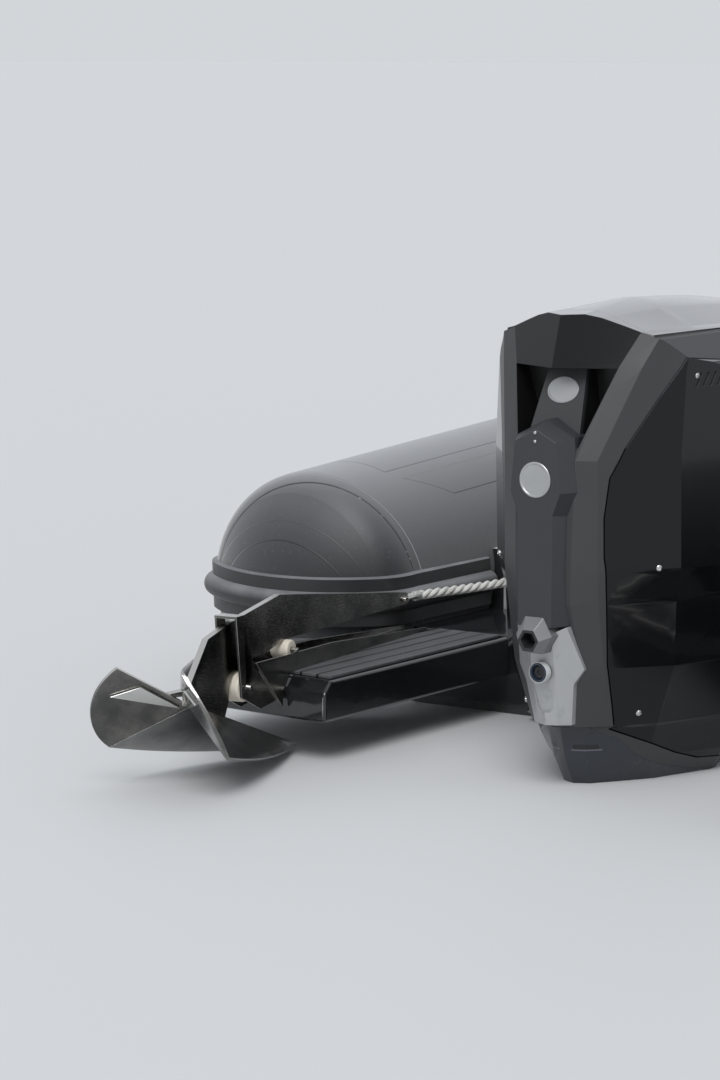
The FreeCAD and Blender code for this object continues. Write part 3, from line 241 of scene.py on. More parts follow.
under_patch = (side.step(UNDER_PATCH_EDGES[0], UNDER_PATCH_EDGES[0] + LAP)
               * x.step(UNDER_PATCH_AFT, UNDER_PATCH_AFT + LAP)
               * (1 - x.step(UNDER_PATCH_AHEAD, UNDER_PATCH_AHEAD + LAP)) * z.step(PATCH_LOW, PATCH_LOW + 0.01)
               * (1 - side.step(UNDER_PATCH_EDGES[1], UNDER_PATCH_EDGES[1] + LAP)))
laps = sum((x.step(at, at + LAP) for at in PANEL_SEAMS[1:]), x.step(PANEL_SEAMS[0], PANEL_SEAMS[0] + LAP))
layers = tape + rings + patch + under_patch
cap_line = cap_plane.near(0.0, 0.0014, 0.0024) + cap_plane.near(CAP_TAPE, 0.0006, 0.003) * 0.3
outer_ring = from_axis.near(CAP_RINGS[1], 0.0006, 0.004) * 0.25
ring_line = on_cap * (from_axis.near(CAP_RINGS[0], 0.0010, 0.0024) + outer_ring)
patch_line = (layers - layers.maths("FLOOR")).near(0.5, 0.3, 0.2) * x.step(0.05, 0.1)
panel_line = sum((x.near(at, 0.0010, 0.0024) for at in PANEL_SEAMS[1:]), x.near(PANEL_SEAMS[0], 0.0010, 0.0024))
lines = (cap_line + ring_line + patch_line + panel_line * 0.8).maths("MINIMUM", 1.0)
along_seam = cap_plane.near(0.002, 0.003, 0.004) * (1 - side.step(1.08, 1.16))
scuffs = place.noise(70.0, 3.0, 0.7).step(0.64, 0.68) * along_seam
dust = place.noise(2.6, 5.0, 0.6).step(0.3, 0.75)
# Painted sky sheen: upward faces are painted lighter, mottled by dust.
upward = place.facing_up()
painted_top_light_and_mottle = upward * (0.25 + upward * 0.75) * (0.78 + dust * 0.22)
streaks = place.noise(120.0, 2.0).step(0.62, 0.72)
colour = painted_top_light_and_mottle.blend((0.014, 0.0145, 0.016), (0.19, 0.192, 0.205))
colour = (streaks * 0.12).blend(colour, (0.24, 0.242, 0.25))
colour = (lines * 0.9).blend(colour, (0.004, 0.0045, 0.005))
colour = (scuffs * 0.9).blend(colour, (0.5, 0.5, 0.49))
weave = place.noise(900.0, 1.0)
give(shader, Base_Color=colour, Roughness=0.42 + dust * 0.12, Sheen_Weight=0.7, Sheen_Roughness=0.45,
     Normal=(layers + laps + weave * 0.12 + place.noise(30.0) * 0.25).bump(0.0012))
for name in ("tube_port", "tube_starboard"):
    wear(name, paint)

# Rub rail: extruded rubber strip glued along the outside, with a fat half-round bead.
# It is a shade lighter than the tube, and its upward faces are painted lighter as a highlight, mottled by rubbing.
paint, shader, place = material("rail_rubber")
rub = place.noise(9.0, 4.0).step(0.35, 0.8)
grit = place.noise(700.0, 2.0)
# Painted highlight: upward faces are lighter, mottled by rubbing.
painted_top_light_and_mottle = (place.facing_up() * 0.9 + 0.1) * (0.6 + rub * 0.4)
give(shader, Base_Color=painted_top_light_and_mottle.blend((0.008, 0.0083, 0.009), (0.24, 0.243, 0.252)), Roughness=0.36 + rub * 0.15,
     Normal=(grit * 0.2 + place.noise(25.0) * 0.3).bump(0.0008))
for name in ("rubrail_port", "rubrail_starboard"):
    wear(name, paint)

# Hull: one glass-fibre moulding in dark graphite gelcoat, polished outside.
# Inside the cockpit the liner is pale grey, with a fine non-slip grain underfoot.
LINER_FROM, LINER_FLOOR, FACING = 0.895, 0.135, 0.7
GRAPHITE, LINER = (0.0165, 0.0175, 0.0195), (0.42, 0.43, 0.44)
graphite, shader, place = material("graphite_gelcoat")
cloud = place.noise(3.0, 4.0)
scum = (place.axes()[2] - place.noise(2.0, 3.0) * 0.02).near(-0.01, 0.012, 0.02) * place.noise(30.0, 4.0)
colour = cloud.blend(GRAPHITE, tuple(1.25 * c for c in GRAPHITE))
colour = (scum * 0.3).blend(colour, (0.075, 0.075, 0.062))
give(shader, Base_Color=colour, Roughness=0.16 + scum * 0.3 + cloud * 0.05, Coat_Weight=0.4,
     Normal=(place.noise(60.0, 1.0) * 0.3).bump(0.0006))
liner, shader, place = material("liner_gelcoat")
cloud = place.noise(3.0, 4.0)
tread = place.noise(420.0, 1.0) * place.facing_up().step(0.8, 0.95)
give(shader, Base_Color=cloud.blend(LINER, tuple(1.08 * c for c in LINER)),
     Roughness=0.28 + tread * 0.2 + cloud * 0.05, Coat_Weight=0.3,
     Normal=(tread * 0.8 + place.noise(60.0, 1.0) * 0.3).bump(0.0007))

# Swim platforms: thick mouldings in gloss black gelcoat, bolted to the transom either side of the motor.
# Their edges are eased by hand sanding, so they catch the light in a narrow bright line.
PLATFORM_EASE = 0.009


def softened(name, width, paint, segments=2, angle=20, crease=60):
    """A copy of a carried-over piece with its edges eased, standing for it. Folds sharper than crease stay crisp."""
    bm = bmesh.new()
    bm.from_mesh(nodes[name].data)
    bmesh.ops.remove_doubles(bm, verts=bm.verts, dist=2e-5)
    bmesh.ops.dissolve_limit(bm, angle_limit=math.radians(0.05), verts=bm.verts, edges=bm.edges)
    piece = bpy.data.objects.new(name + "_finished", bpy.data.meshes.new(name + "_finished"))
    bm.to_mesh(piece.data)
    bm.free()
    bpy.context.scene.collection.objects.link(piece)
    piece.data.shade_smooth()
    piece.data.set_sharp_from_angle(angle=math.radians(crease))
    piece.data.materials.append(paint)
    ease = piece.modifiers.new("eased_edges", "BEVEL")
    ease.width = width
    ease.segments = segments
    ease.limit_method = "ANGLE"
    ease.angle_limit = math.radians(angle)
    ease.harden_normals = True
    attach(piece, nodes[name]["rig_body"])
    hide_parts(name)
    return piece


moulding = softened("hull", 0.004, graphite)
moulding.data.materials.append(liner)
for face in moulding.data.polygons:
    spot, out = face.center, face.normal
    faces_in = out.y * spot.y < -1e-4 or abs(out.x) > FACING or out.z > FACING
    if spot.x > LINER_FROM and spot.z > LINER_FLOOR and faces_in:
        face.material_index = 1
paint, shader, place = material("black_gelcoat")
cloud = place.noise(4.0, 5.0, 0.6)
specks = place.noise(260.0, 2.0).step(0.70, 0.74)
colour = cloud.blend((0.006, 0.0063, 0.007), (0.011, 0.0115, 0.0125))
colour = (specks * 0.35).blend(colour, (0.20, 0.20, 0.19))
give(shader, Base_Color=colour, Roughness=0.09 + cloud * 0.1 + specks * 0.2, Coat_Weight=0.6, Coat_Roughness=0.05,
     Normal=(place.noise(45.0, 1.0) * 0.35).bump(0.0006))
for name in ("platform_port", "platform_starboard"):
    softened(name, PLATFORM_EASE, paint, 3)

# Deck pads: brushed synthetic teak in grey, planked along the boat with black caulking.
# They are cut to each deck and glued down.
PLANK, CAULK = 0.052, 0.0060
paint, shader, place = material("synthetic_teak")
across = place.axes()[1].maths("ABSOLUTE") * (1 / PLANK)
groove = (across - across.maths("FLOOR")).near(0.5, CAULK / PLANK / 2, 0.02)
brush = place.node("ShaderNodeMapping", {}, {"Vector": place, "Scale": (6.0, 240.0, 60.0)}).noise(1.0, 4.0, 0.6)
dirt = place.noise(5.0, 5.0, 0.65).step(0.3, 0.8)
colour = (brush * 0.6 + dirt * 0.4).blend((0.034, 0.035, 0.037), (0.13, 0.132, 0.137))
colour = groove.blend(colour, (0.003, 0.003, 0.0035))
give(shader, Base_Color=colour, Roughness=0.55 + dirt * 0.2 - groove * 0.2,
     Normal=(1 - groove + brush * 0.35).bump(0.0018))
wear("cockpit_pads", paint)
softened("platform_pads", 0.002, paint)

# Moulded furniture: stern bench with its locker lid, helm pod, console with its front seat, and the bow lid.
# Each is glass fibre with pale grey gelcoat, its corners rounded in the mould.
paint, shader, place = material("furniture_gelcoat")
cloud = place.noise(3.5, 5.0, 0.6)
scuff = place.noise(22.0, 3.0).step(0.62, 0.74) * (1 - place.axes()[2].step(0.15, 0.30))
colour = cloud.blend((0.40, 0.41, 0.42), (0.47, 0.475, 0.48))
colour = (scuff * 0.5).blend(colour, (0.16, 0.16, 0.16))
give(shader, Base_Color=colour, Roughness=0.2 + cloud * 0.08 + scuff * 0.3, Coat_Weight=0.35,
     Normal=(place.noise(70.0, 1.0) * 0.3).bump(0.0006))
for name, width in (("stern_bench", 0.012), ("bench_lid", 0.006), ("bench_back_frame", 0.008), ("helm_pod", 0.022),
                    ("console", 0.028), ("console_seat", 0.02), ("bow_lid", 0.006)):
    softened(name, width, paint, 4)

# Windscreen: one sheet of smoked acrylic bent round the console, its edge polished.
# The dash and the rail behind it still show through.
paint, shader, place = material("smoked_acrylic")
haze = place.noise(12.0, 4.0)
give(shader, Base_Color=haze.blend((0.020, 0.022, 0.025), (0.030, 0.032, 0.036)), Roughness=0.03 + haze * 0.04,
     Alpha=0.62 + haze * 0.06)
softened("windscreen", 0.002, paint)

# Helm: a black instrument panel with a plotter and two dials, a padded wheel and a single throttle lever.
# The dials and the plotter stand proud of the panel, each under dark glass.
DASH_LOW, DASH_HIGH = Vector((2.880, 0, 1.010)), Vector((3.110, 0, 1.180))
DIAL_AT, DIAL_UP, DIAL_R, DIAL_PROUD = (0.150, 0.235), 0.145, 0.034, 0.0165
PLOTTER_AT, PLOTTER_UP, PLOTTER_HALF = -0.020, 0.145, (0.104, 0.060)
PLOTTER_THICK, PLOTTER_PROUD = 0.003, 0.0208


def placed(bm, name, centre, axis, body, paint):
    """Turns a mesh built round the Z axis to stand on centre along axis, and makes it a piece of a body."""
    turn = Vector((0, 0, 1)).rotation_difference(axis.normalized()).to_matrix().to_4x4()
    bmesh.ops.transform(bm, matrix=Matrix.Translation(centre) @ turn, verts=bm.verts)
    bmesh.ops.recalc_face_normals(bm, faces=bm.faces)
    piece = bpy.data.objects.new(name, bpy.data.meshes.new(name))
    bm.to_mesh(piece.data)
    bm.free()
    bpy.context.scene.collection.objects.link(piece)
    piece.data.shade_smooth()
    piece.data.set_sharp_from_angle(angle=math.radians(32))
    piece.data.materials.append(paint)
    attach(piece, body)
    return piece


def turned(profile, steps=32):
    """A closed round piece, its profile of radius and height spun about the Z axis."""
    bm = bmesh.new()
    line = [bm.verts.new((radius, 0, height)) for radius, height in profile]
    edges = [bm.edges.new(pair) for pair in zip(line, line[1:])]
    bmesh.ops.spin(bm, geom=line + edges, cent=(0, 0, 0), axis=(0, 0, 1), angle=math.tau, steps=steps, use_merge=True)
    bmesh.ops.remove_doubles(bm, verts=bm.verts, dist=1e-6)
    return bm


dash_paint, shader, place = material("dash_black")
grain = place.noise(500.0, 2.0)
cloud = place.noise(8.0, 4.0)
give(shader, Base_Color=cloud.blend((0.014, 0.0145, 0.016), (0.024, 0.0245, 0.026)), Roughness=0.38 + cloud * 0.12,
     Normal=(grain * 0.5).bump(0.0006))
for name in ("dash_panel", "throttle", "wheel_column"):
    softened(name, 0.003, dash_paint)
paint, shader, place = material("wheel_grip")
hide = place.node("ShaderNodeTexVoronoi", {}, {"Vector": place, "Scale": 620.0})
give(shader, Base_Color=place.noise(14.0, 4.0).blend((0.014, 0.0142, 0.015), (0.022, 0.0222, 0.023)),
     Roughness=0.5 + hide * 0.3, Normal=hide.bump(0.0007))
softened("steering_wheel", 0.004, paint)
paint, shader, place = material("instrument_glass")
glow = place.noise(6.0, 2.0)
give(shader, Base_Color=glow.blend((0.006, 0.009, 0.013), (0.010, 0.014, 0.020)), Roughness=0.05 + glow * 0.03,
     Coat_Weight=1.0)
up_dash = (DASH_HIGH - DASH_LOW).normalized()
off_dash = up_dash.cross(Vector((0, -1, 0))).normalized()
off_dash = off_dash if off_dash.z > 0 else -off_dash
for number, aside in enumerate(DIAL_AT):
    centre = DASH_LOW + up_dash * DIAL_UP + Vector((0, aside, 0)) + off_dash * DIAL_PROUD
    glass = turned([(0, -0.001), (DIAL_R - 0.006, -0.001), (DIAL_R - 0.006, 0.0015), (0, 0.0025)])
    placed(glass, f"dial_glass_{number}", centre, off_dash, "hull", paint)
screen = bmesh.new()
bmesh.ops.create_cube(screen, size=1)
bmesh.ops.scale(screen, vec=(2 * PLOTTER_HALF[1], 2 * PLOTTER_HALF[0], PLOTTER_THICK), verts=screen.verts)
bmesh.ops.bevel(screen, geom=screen.edges[:], offset=0.0012, affect="EDGES", segments=2, profile=0.5, material=-1)
centre = DASH_LOW + up_dash * PLOTTER_UP + Vector((0, PLOTTER_AT, 0)) + off_dash * PLOTTER_PROUD
placed(screen, "plotter_glass", centre, off_dash, "hull", paint)

# Stainless fittings: grab rail, ladder with its lugs, cleats, mooring posts, towing eyes and lid hinges.
# All are polished tube, bar and plate, hazed a little by salt.
steel, shader, place = material("polished_stainless")
haze = place.noise(18.0, 5.0, 0.65).step(0.35, 0.8)
swirl = place.noise(340.0, 3.0)
give(shader, Base_Color=haze.blend((0.58, 0.575, 0.56), (0.66, 0.65, 0.63)), Metallic=1.0,
     Roughness=0.10 + haze * 0.16, Normal=(swirl * 0.25).bump(0.0003))
for name, width in (("boarding_ladder", 0.0015), ("ladder_lugs", 0.0015), ("cleats", 0.002), ("mooring_post", 0.0012),
                    ("bow_eye", 0.002), ("stern_eyes", 0.002), ("lid_hinges", 0.0006)):
    softened(name, width, steel)
wear("console_rail", steel)

# Carrying handles: rubber mouldings with a ribbed grip and a flat foot at each end.
# They are glued along the tops of both tubes.
paint, shader, place = material("handle_rubber")
ribs = (place.axes()[0] * 160.0).maths("FRACT").near(0.5, 0.18, 0.12)
give(shader, Base_Color=place.noise(12.0, 4.0).blend((0.020, 0.021, 0.022), (0.034, 0.035, 0.037)),
     Roughness=0.6 + ribs * 0.1, Normal=(ribs * 0.8 + place.noise(600.0) * 0.2).bump(0.0009))
softened("tube_handles", 0.005, paint, 3)

# Stern anchor: a folded plate fluke welded to a forged shank, with a shackle in its end.
# It rests in a bracket of two polished cheeks with a bail and two nylon rollers, screwed to the platform.
paint, shader, place = material("polished_anchor")
haze = place.noise(7.0, 5.0, 0.65).step(0.3, 0.8)
along = place.node("ShaderNodeMapping", {},
                   {"Vector": place, "Rotation": (0.0, 0.0, 0.6), "Scale": (30.0, 500.0, 500.0)})
grind = along.noise(1.0, 3.0)
# Painted reflection: upward faces are painted light as if showing the sky, the other faces dark, under salt haze.
hazed_dark_reflection = haze.blend((0.10, 0.099, 0.098), (0.30, 0.29, 0.27))
give(shader, Base_Color=place.facing_up().step(0.1, 0.6).blend(hazed_dark_reflection, (0.62, 0.61, 0.59)), Metallic=1.0,
     Roughness=0.08 + haze * 0.16, Normal=(grind * 0.3 + place.noise(9.0) * 1.2).bump(0.0012))
# Painted highlight: the eased edges take a lighter steel, as if catching the sky.
edge_highlight_paint, shader, place = material("painted_edge_highlight")
highlight_tone = place.noise(160.0, 3.0)
give(shader, Base_Color=highlight_tone.blend((0.72, 0.715, 0.70), (0.86, 0.855, 0.84)), Metallic=1.0,
     Roughness=0.16 + highlight_tone * 0.12)
for name in ("anchor", "anchor_bracket"):
    plate = softened(name, 0.0016, paint)
    plate.data.materials.append(edge_highlight_paint)
    plate.modifiers["eased_edges"].material = 1
EAR_PLATE = (Vector((-1.3683, 0.8075, 0.2289)), Vector((-1.3177, 0.7562, 0.2499)), Vector((-1.2163, 0.7200, 0.1886)))
PLATE_T, PLATE_SUNK = 0.010, 0.002
SYMMETRY_AT, SYMMETRY_OUT = Vector((-0.077, 0.836, 0)), Vector((-0.1132, 0.9936, 0))
outward = (EAR_PLATE[1] - EAR_PLATE[0]).cross(EAR_PLATE[2] - EAR_PLATE[0]).normalized()
outward = outward if outward.y < 0 else -outward
for side in ("port", "starboard"):
    corners, out = EAR_PLATE, outward
    if side == "starboard":
        corners = [at - SYMMETRY_OUT * 2 * (at - SYMMETRY_AT).dot(SYMMETRY_OUT) for at in EAR_PLATE]
        out = outward - SYMMETRY_OUT * 2 * outward.dot(SYMMETRY_OUT)
    bm = bmesh.new()
    plate = bm.faces.new([bm.verts.new(at - out * PLATE_SUNK) for at in corners])
    raised = bmesh.ops.extrude_face_region(bm, geom=[plate])["geom"]
    lifted = [item for item in raised if isinstance(item, bmesh.types.BMVert)]
    bmesh.ops.translate(bm, vec=out * PLATE_T, verts=lifted)
    bmesh.ops.bevel(bm, geom=bm.edges[:], offset=0.0016, affect="EDGES", segments=2, profile=0.5, material=-1)
    placed(bm, "ear_plate_" + side, Vector((0, 0, 0)), Vector((0, 0, 1)), "hull", steel)
paint, shader, place = material("roller_nylon")
cloud = place.noise(40.0, 4.0)
give(shader, Base_Color=cloud.blend((0.56, 0.50, 0.41), (0.72, 0.67, 0.58)), Roughness=0.45 + cloud * 0.15,
     Normal=(cloud * 0.4).bump(0.0006))
softened("anchor_rollers", 0.005, paint, 4)

# Rode: a white three-strand rope from the anchor's shackle to the post on the side deck, drawn tight.
# It takes a turn and a half round the post and is whipped at its end.
ROPE_R, TWIST, ROPE_STEP = 0.012, 0.10, 0.005
STRAND_OFF, STRAND_FAT, STRAND_SIDES = 0.50, 0.56, 8
EYE_R, EYE_T = 0.017, 0.0075
SHACKLE_BOW = Vector((-0.1048, 0.8328, 0.297))
POST, TURN_R = Vector((0.388, 0.800, 0)), 0.0275
TURN_LOW, TURN_RISE, TURN_STEPS, TURNS = 0.289, 0.0245, 12, 1.5
tangent = Vector((POST.x, POST.y - TURN_R, TURN_LOW))
route = [SHACKLE_BOW + Vector((0.016, -0.002, -0.001)), SHACKLE_BOW.lerp(tangent, 0.15),
         SHACKLE_BOW.lerp(tangent, 0.5) - Vector((0, 0, 0.002)), SHACKLE_BOW.lerp(tangent, 0.85),
         SHACKLE_BOW.lerp(tangent, 0.96)]
for count in range(int(TURNS * TURN_STEPS) + 1):
    turn = math.tau * count / TURN_STEPS - math.pi / 2
    height = TURN_LOW + TURN_RISE * count / TURN_STEPS
    route.append(POST + Vector((TURN_R * math.cos(turn), TURN_R * math.sin(turn), height)))
guide = bpy.data.curves.new("rope_guide", "CURVE")
guide.dimensions = "3D"
spline = guide.splines.new("NURBS")
spline.points.add(len(route) - 1)
for point, at in zip(spline.points, route):
    point.co = (*at, 1)
spline.order_u = 3
spline.use_endpoint_u = True
spline.resolution_u = 6
holder = bpy.data.objects.new("rope_guide", guide)
bpy.context.scene.collection.objects.link(holder)
bpy.context.view_layer.update()
line = [vertex.co.copy() for vertex in bpy.data.meshes.new_from_object(holder).vertices]
bpy.data.objects.remove(holder)
even = [line[0]]
for vertex in line[1:]:
    while (vertex - even[-1]).length >= ROPE_STEP:
        even.append(even[-1] + (vertex - even[-1]).normalized() * ROPE_STEP)
paint, shader, place = material("rope_yarn")
fibre = place.noise(420.0, 3.0)
soil = place.noise(14.0, 4.0).step(0.4, 0.8)
give(shader, Base_Color=(fibre * 0.35 + soil * 0.5).blend((0.70, 0.69, 0.655), (0.36, 0.35, 0.32)), Roughness=0.85,
     Normal=fibre.bump(0.0012))
bm = bmesh.new()
for strand in range(3):
    last = None
    for count, at in enumerate(even):
        ahead = (even[min(count + 1, len(even) - 1)] - even[max(count - 1, 0)]).normalized()
        out = ahead.cross(Vector((0, 0, 1))).normalized()
        up = out.cross(ahead)
        phase = math.tau * (strand / 3 + count * ROPE_STEP / TWIST)
        centre = at + (out * math.cos(phase) + up * math.sin(phase)) * ROPE_R * STRAND_OFF
        ring = []
        for corner in range(STRAND_SIDES):
            angle = math.tau * corner / STRAND_SIDES
            ring.append(bm.verts.new(centre + (out * math.cos(angle) + up * math.sin(angle)) * ROPE_R * STRAND_FAT))
        if last:
            for corner in range(STRAND_SIDES):
                bm.faces.new((last[corner - 1], last[corner], ring[corner], ring[corner - 1]))
        else:
            bm.faces.new(ring)
        last = ring
    bm.faces.new(list(reversed(last)))
rode = placed(bm, "rode", Vector((0, 0, 0)), Vector((0, 0, 1)), "hull", paint)
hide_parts("anchor_rode")
paint, shader, place = material("whipping_twine")
twine = (place.axes()[0] * 900.0).maths("FRACT").near(0.5, 0.2, 0.2)
give(shader, Base_Color=twine.blend((0.42, 0.42, 0.41), (0.60, 0.60, 0.58)), Roughness=0.7, Normal=twine.bump(0.0008))
eye = bmesh.new()
corners = [math.tau * k / 12 for k in range(12)]
rim = [eye.verts.new((EYE_R + EYE_T * math.cos(angle), 0, EYE_T * math.sin(angle))) for angle in corners]
edges = [eye.edges.new((rim[k - 1], rim[k])) for k in range(12)]
bmesh.ops.spin(eye, geom=rim + edges, cent=(0, 0, 0), axis=(0, 0, 1), angle=math.tau, steps=32, use_merge=True)
placed(eye, "rope_eye", SHACKLE_BOW + Vector((0.008, -0.001, 0)), Vector((0, 0.25, 1)), "hull", paint)
for name, at, ahead in (("splice_whipping", even[2], even[12] - even[2]),
                        ("end_whipping", even[-3], even[-1] - even[-5])):
    band = turned([(0, -0.011), (ROPE_R * 1.02, -0.010), (ROPE_R * 1.06, 0), (ROPE_R * 1.02, 0.010), (0, 0.011)], 24)
    placed(band, name, at, ahead, "hull", paint)

# Outboard motor below the cowl: cast clamp and swivel brackets, midsection, gearcase, ram and propeller.
# The castings are satin black, and the propeller and the ram's rod are polished stainless steel.
paint, shader, place = material("motor_castings")
cast = place.noise(110.0, 3.0)
cloud = place.noise(5.0, 4.0)
give(shader, Base_Color=cloud.blend((0.013, 0.0135, 0.015), (0.022, 0.023, 0.025)), Roughness=0.33 + cloud * 0.15,
     Normal=(cast * 0.5).bump(0.0007))
for name in ("clamp_brackets", "swivel_bracket", "midsection", "gearcase"):
    softened(name, 0.004, paint, 3)
softened("ram_cylinder", 0.001, paint)
wear("powerhead", paint)
softened("ram_rod", 0.0008, steel)
softened("propeller", 0.0012, steel)

# Lower cowl: a pointed skirt moulded in dark blue-grey, with a crease down its middle.
# It is satin painted and a little chalky along its lower edge.
VENT_Y, VENT_Z, VENT_LIP_Z, VENT_AHEAD = 0.044, 0.0925, 0.0852, -0.62
paint, shader, place = material("lower_cowl_paint")
x, y, z = place.axes()
cloud = place.noise(6.0, 5.0, 0.6)
chalk = place.noise(30.0, 4.0, 0.7).step(0.60, 0.72) * (1 - z.step(0.02, 0.09))
colour = cloud.blend((0.0125, 0.0165, 0.023), (0.020, 0.025, 0.034))
colour = (chalk * 0.35).blend(colour, (0.16, 0.17, 0.18))
half = y.maths("ABSOLUTE")
astern = 1 - x.step(VENT_AHEAD, VENT_AHEAD + 0.02)
# The vent slot is pressed in by bump; its inside is painted dark as shade, and its lower lip painted light as a
# highlight.
vent_slot_and_shade = z.near(VENT_Z, 0.0050, 0.0015) * half.near(VENT_Y, 0.022, 0.002) * astern
vent_lip_and_highlight = z.near(VENT_LIP_Z, 0.0014, 0.001) * half.near(VENT_Y, 0.026, 0.004) * astern
colour = vent_slot_and_shade.blend(colour, (0.003, 0.003, 0.004))
colour = (vent_lip_and_highlight * 0.8).blend(colour, (0.14, 0.15, 0.17))
give(shader, Base_Color=colour, Roughness=0.24 + cloud * 0.1 + chalk * 0.3, Coat_Weight=0.3,
     Normal=(place.noise(80.0) * 0.15 - vent_slot_and_shade * 3.0 + vent_lip_and_highlight).bump(0.0010))
softened("lower_cowl", 0.003, paint)

# Cowl frame and spine: tough fine-grained mouldings in satin dark grey, with softened edges.
# The recess under the visor is painted dark behind the strut and along its walls, a painted shade.
RECESS_Z, RECESS_WALL = (0.800, 0.976), (0.080, 0.3125)
STRUT_FACE = (-0.762, 0.398)
paint, shader, place = material("grained_grey")
x, y, z = place.axes()
grain = place.noise(850.0, 2.0)
cloud = place.noise(4.0, 5.0, 0.6)
marks = place.noise(26.0, 5.0, 0.75).step(0.66, 0.72) * place.noise(300.0, 2.0).step(0.5, 0.6)
colour = cloud.blend((0.030, 0.0315, 0.033), (0.039, 0.0405, 0.042))
colour = (marks * 0.25).blend(colour, (0.13, 0.135, 0.14))
# Painted shade: the recess behind the strut and along its walls is darkened.
past_wall = y.maths("ABSOLUTE") - RECESS_WALL[0] - (z - RECESS_Z[0]) * RECESS_WALL[1]
behind_strut = (x - STRUT_FACE[0] - (z - RECESS_Z[0]) * STRUT_FACE[1]).step(0.003, 0.02)
recess_painted_shade = behind_strut.maths("MAXIMUM", past_wall.near(0.0, 0.001, 0.0015)) * (1 - past_wall.step(0.001, 0.002))
recess_painted_shade = recess_painted_shade * z.step(RECESS_Z[0] - 0.006, RECESS_Z[0] - 0.001) * (1 - z.step(RECESS_Z[1], RECESS_Z[1] + 0.004))
colour = recess_painted_shade.blend(colour, (0.004, 0.004, 0.0045))
give(shader, Base_Color=colour, Roughness=0.40 + cloud * 0.08 - marks * 0.1,
     Normal=(grain * 0.5 + cloud * 0.6).bump(0.0005))
softened("cowl_frame", 0.0045, paint, 3, 14, 3)
paint, shader, place = material("spine_grey")
cloud = place.noise(5.0, 5.0, 0.6)
give(shader, Base_Color=cloud.blend((0.028, 0.030, 0.034), (0.035, 0.037, 0.042)), Roughness=0.34 + cloud * 0.08,
     Normal=(place.noise(800.0, 2.0) * 0.3 + cloud * 0.5).bump(0.0005))
spine = softened("cowl_spine", 0.003, paint, 3, 14, 3)
SPOUT_Z, SPOUT_OUT, BORE_R, SPINE_X = 0.367, 0.052, 0.0215, -0.832
paint, shader, place = material("spout_silver")
cloud = place.noise(14.0, 5.0, 0.6)
give(shader, Base_Color=cloud.blend((0.16, 0.163, 0.168), (0.22, 0.222, 0.225)), Metallic=0.4,
     Roughness=0.3 + cloud * 0.1, Normal=(place.noise(900.0, 2.0) * 0.3).bump(0.0003))
spine.data.materials.append(paint)
spine.data.materials.append(dash_paint)
# Spout faces take the silver; faces inside the bore take the black dash paint, a painted shade.
for face in spine.data.polygons:
    spot = face.center
    off_axis = math.hypot(spot.y, spot.z - SPOUT_Z)
    if off_axis < SPOUT_OUT and (spot.x < SPINE_X - 0.001 or face.normal.x > -0.95):
        face.material_index = 2 if off_axis < BORE_R else 1

# Gloss black skins: the top panel, the visor over the recess and the side panels, held by captive screws.
# They are injection moulded and polished, and their edges are tight.
paint, shader, place = material("gloss_black")
cloud = place.noise(3.0, 4.0)
spots = place.noise(380.0, 2.0).step(0.72, 0.75)
# Painted reflection: upward faces are painted light grey as if mirroring the sky, and carry more coat.
painted_top_sheen = place.facing_up().step(0.35, 0.9)
colour = painted_top_sheen.blend((0.0045, 0.0047, 0.0053), (0.22, 0.222, 0.235))
give(shader, Base_Color=(spots * 0.2).blend(colour, (0.12, 0.12, 0.12)), Roughness=0.075 + cloud * 0.06 + spots * 0.2,
     Coat_Weight=0.1 + painted_top_sheen * 0.9, Coat_Roughness=0.03, Specular_IOR_Level=0.28,
     Normal=(place.noise(3.0, 1.0) * 0.3).bump(0.0006))
for name, angle, crease in (("cowl_top", 32, 40), ("cowl_visor", 14, 12), ("cowl_side_panels", 14, 3)):
    softened(name, 0.003, paint, 3, angle, crease)

# Lower panel: a silver painted shield with fine metal flake, below the spine's spout.
# A tapering channel runs down from its notch, round the flushing port.
TROUGH = [(0.032, 0.345), (0.032, 0.272), (0.019, 0.196), (0.011, 0.186)]
TROUGH_FROM, TROUGH_DEEP = -0.88, 0.011
SHIELD_EASE = 0.0016
SHIELD_X, SHIELD_TOP, SHIELD_SLOPE = -0.826, 0.400, 0.192
paint, shader, place = material("shield_silver")
flake = place.noise(1200.0, 1.0)
cloud = place.noise(9.0, 5.0, 0.6)
grime = place.noise(35.0, 4.0, 0.7).step(0.52, 0.75)
give(shader, Base_Color=(grime * 0.4 + cloud * 0.3).blend((0.44, 0.445, 0.445), (0.27, 0.275, 0.275)), Metallic=0.45,
     Roughness=0.30 + cloud * 0.1, Normal=(flake * 0.3).bump(0.0003))
bm = bmesh.new()
outline = [bm.verts.new((TROUGH_FROM, a, b)) for a, b in TROUGH + [(-a, b) for a, b in reversed(TROUGH)]]
front = bm.faces.new(outline)
pushed = bmesh.ops.extrude_face_region(bm, geom=[front])["geom"]
for vertex in (item for item in pushed if isinstance(item, bmesh.types.BMVert)):
    vertex.co.x = SHIELD_X + (SHIELD_TOP - vertex.co.z) * SHIELD_SLOPE + TROUGH_DEEP
bmesh.ops.recalc_face_normals(bm, faces=bm.faces)
cutter = bpy.data.objects.new("trough", bpy.data.meshes.new("trough"))
bm.to_mesh(cutter.data)
bm.free()
bpy.context.scene.collection.objects.link(cutter)
shield = softened("cowl_panel", SHIELD_EASE, paint, 3, 14)
ease = shield.modifiers["eased_edges"]
ease.show_viewport = False
carve = shield.modifiers.new("channel", "BOOLEAN")
carve.object = cutter
carve.solver = "EXACT"
bpy.context.view_layer.update()
carved = bpy.data.meshes.new_from_object(shield.evaluated_get(bpy.context.evaluated_depsgraph_get()))
shield.modifiers.remove(carve)
shield.data = carved
ease.show_viewport = True
bpy.data.objects.remove(cutter)

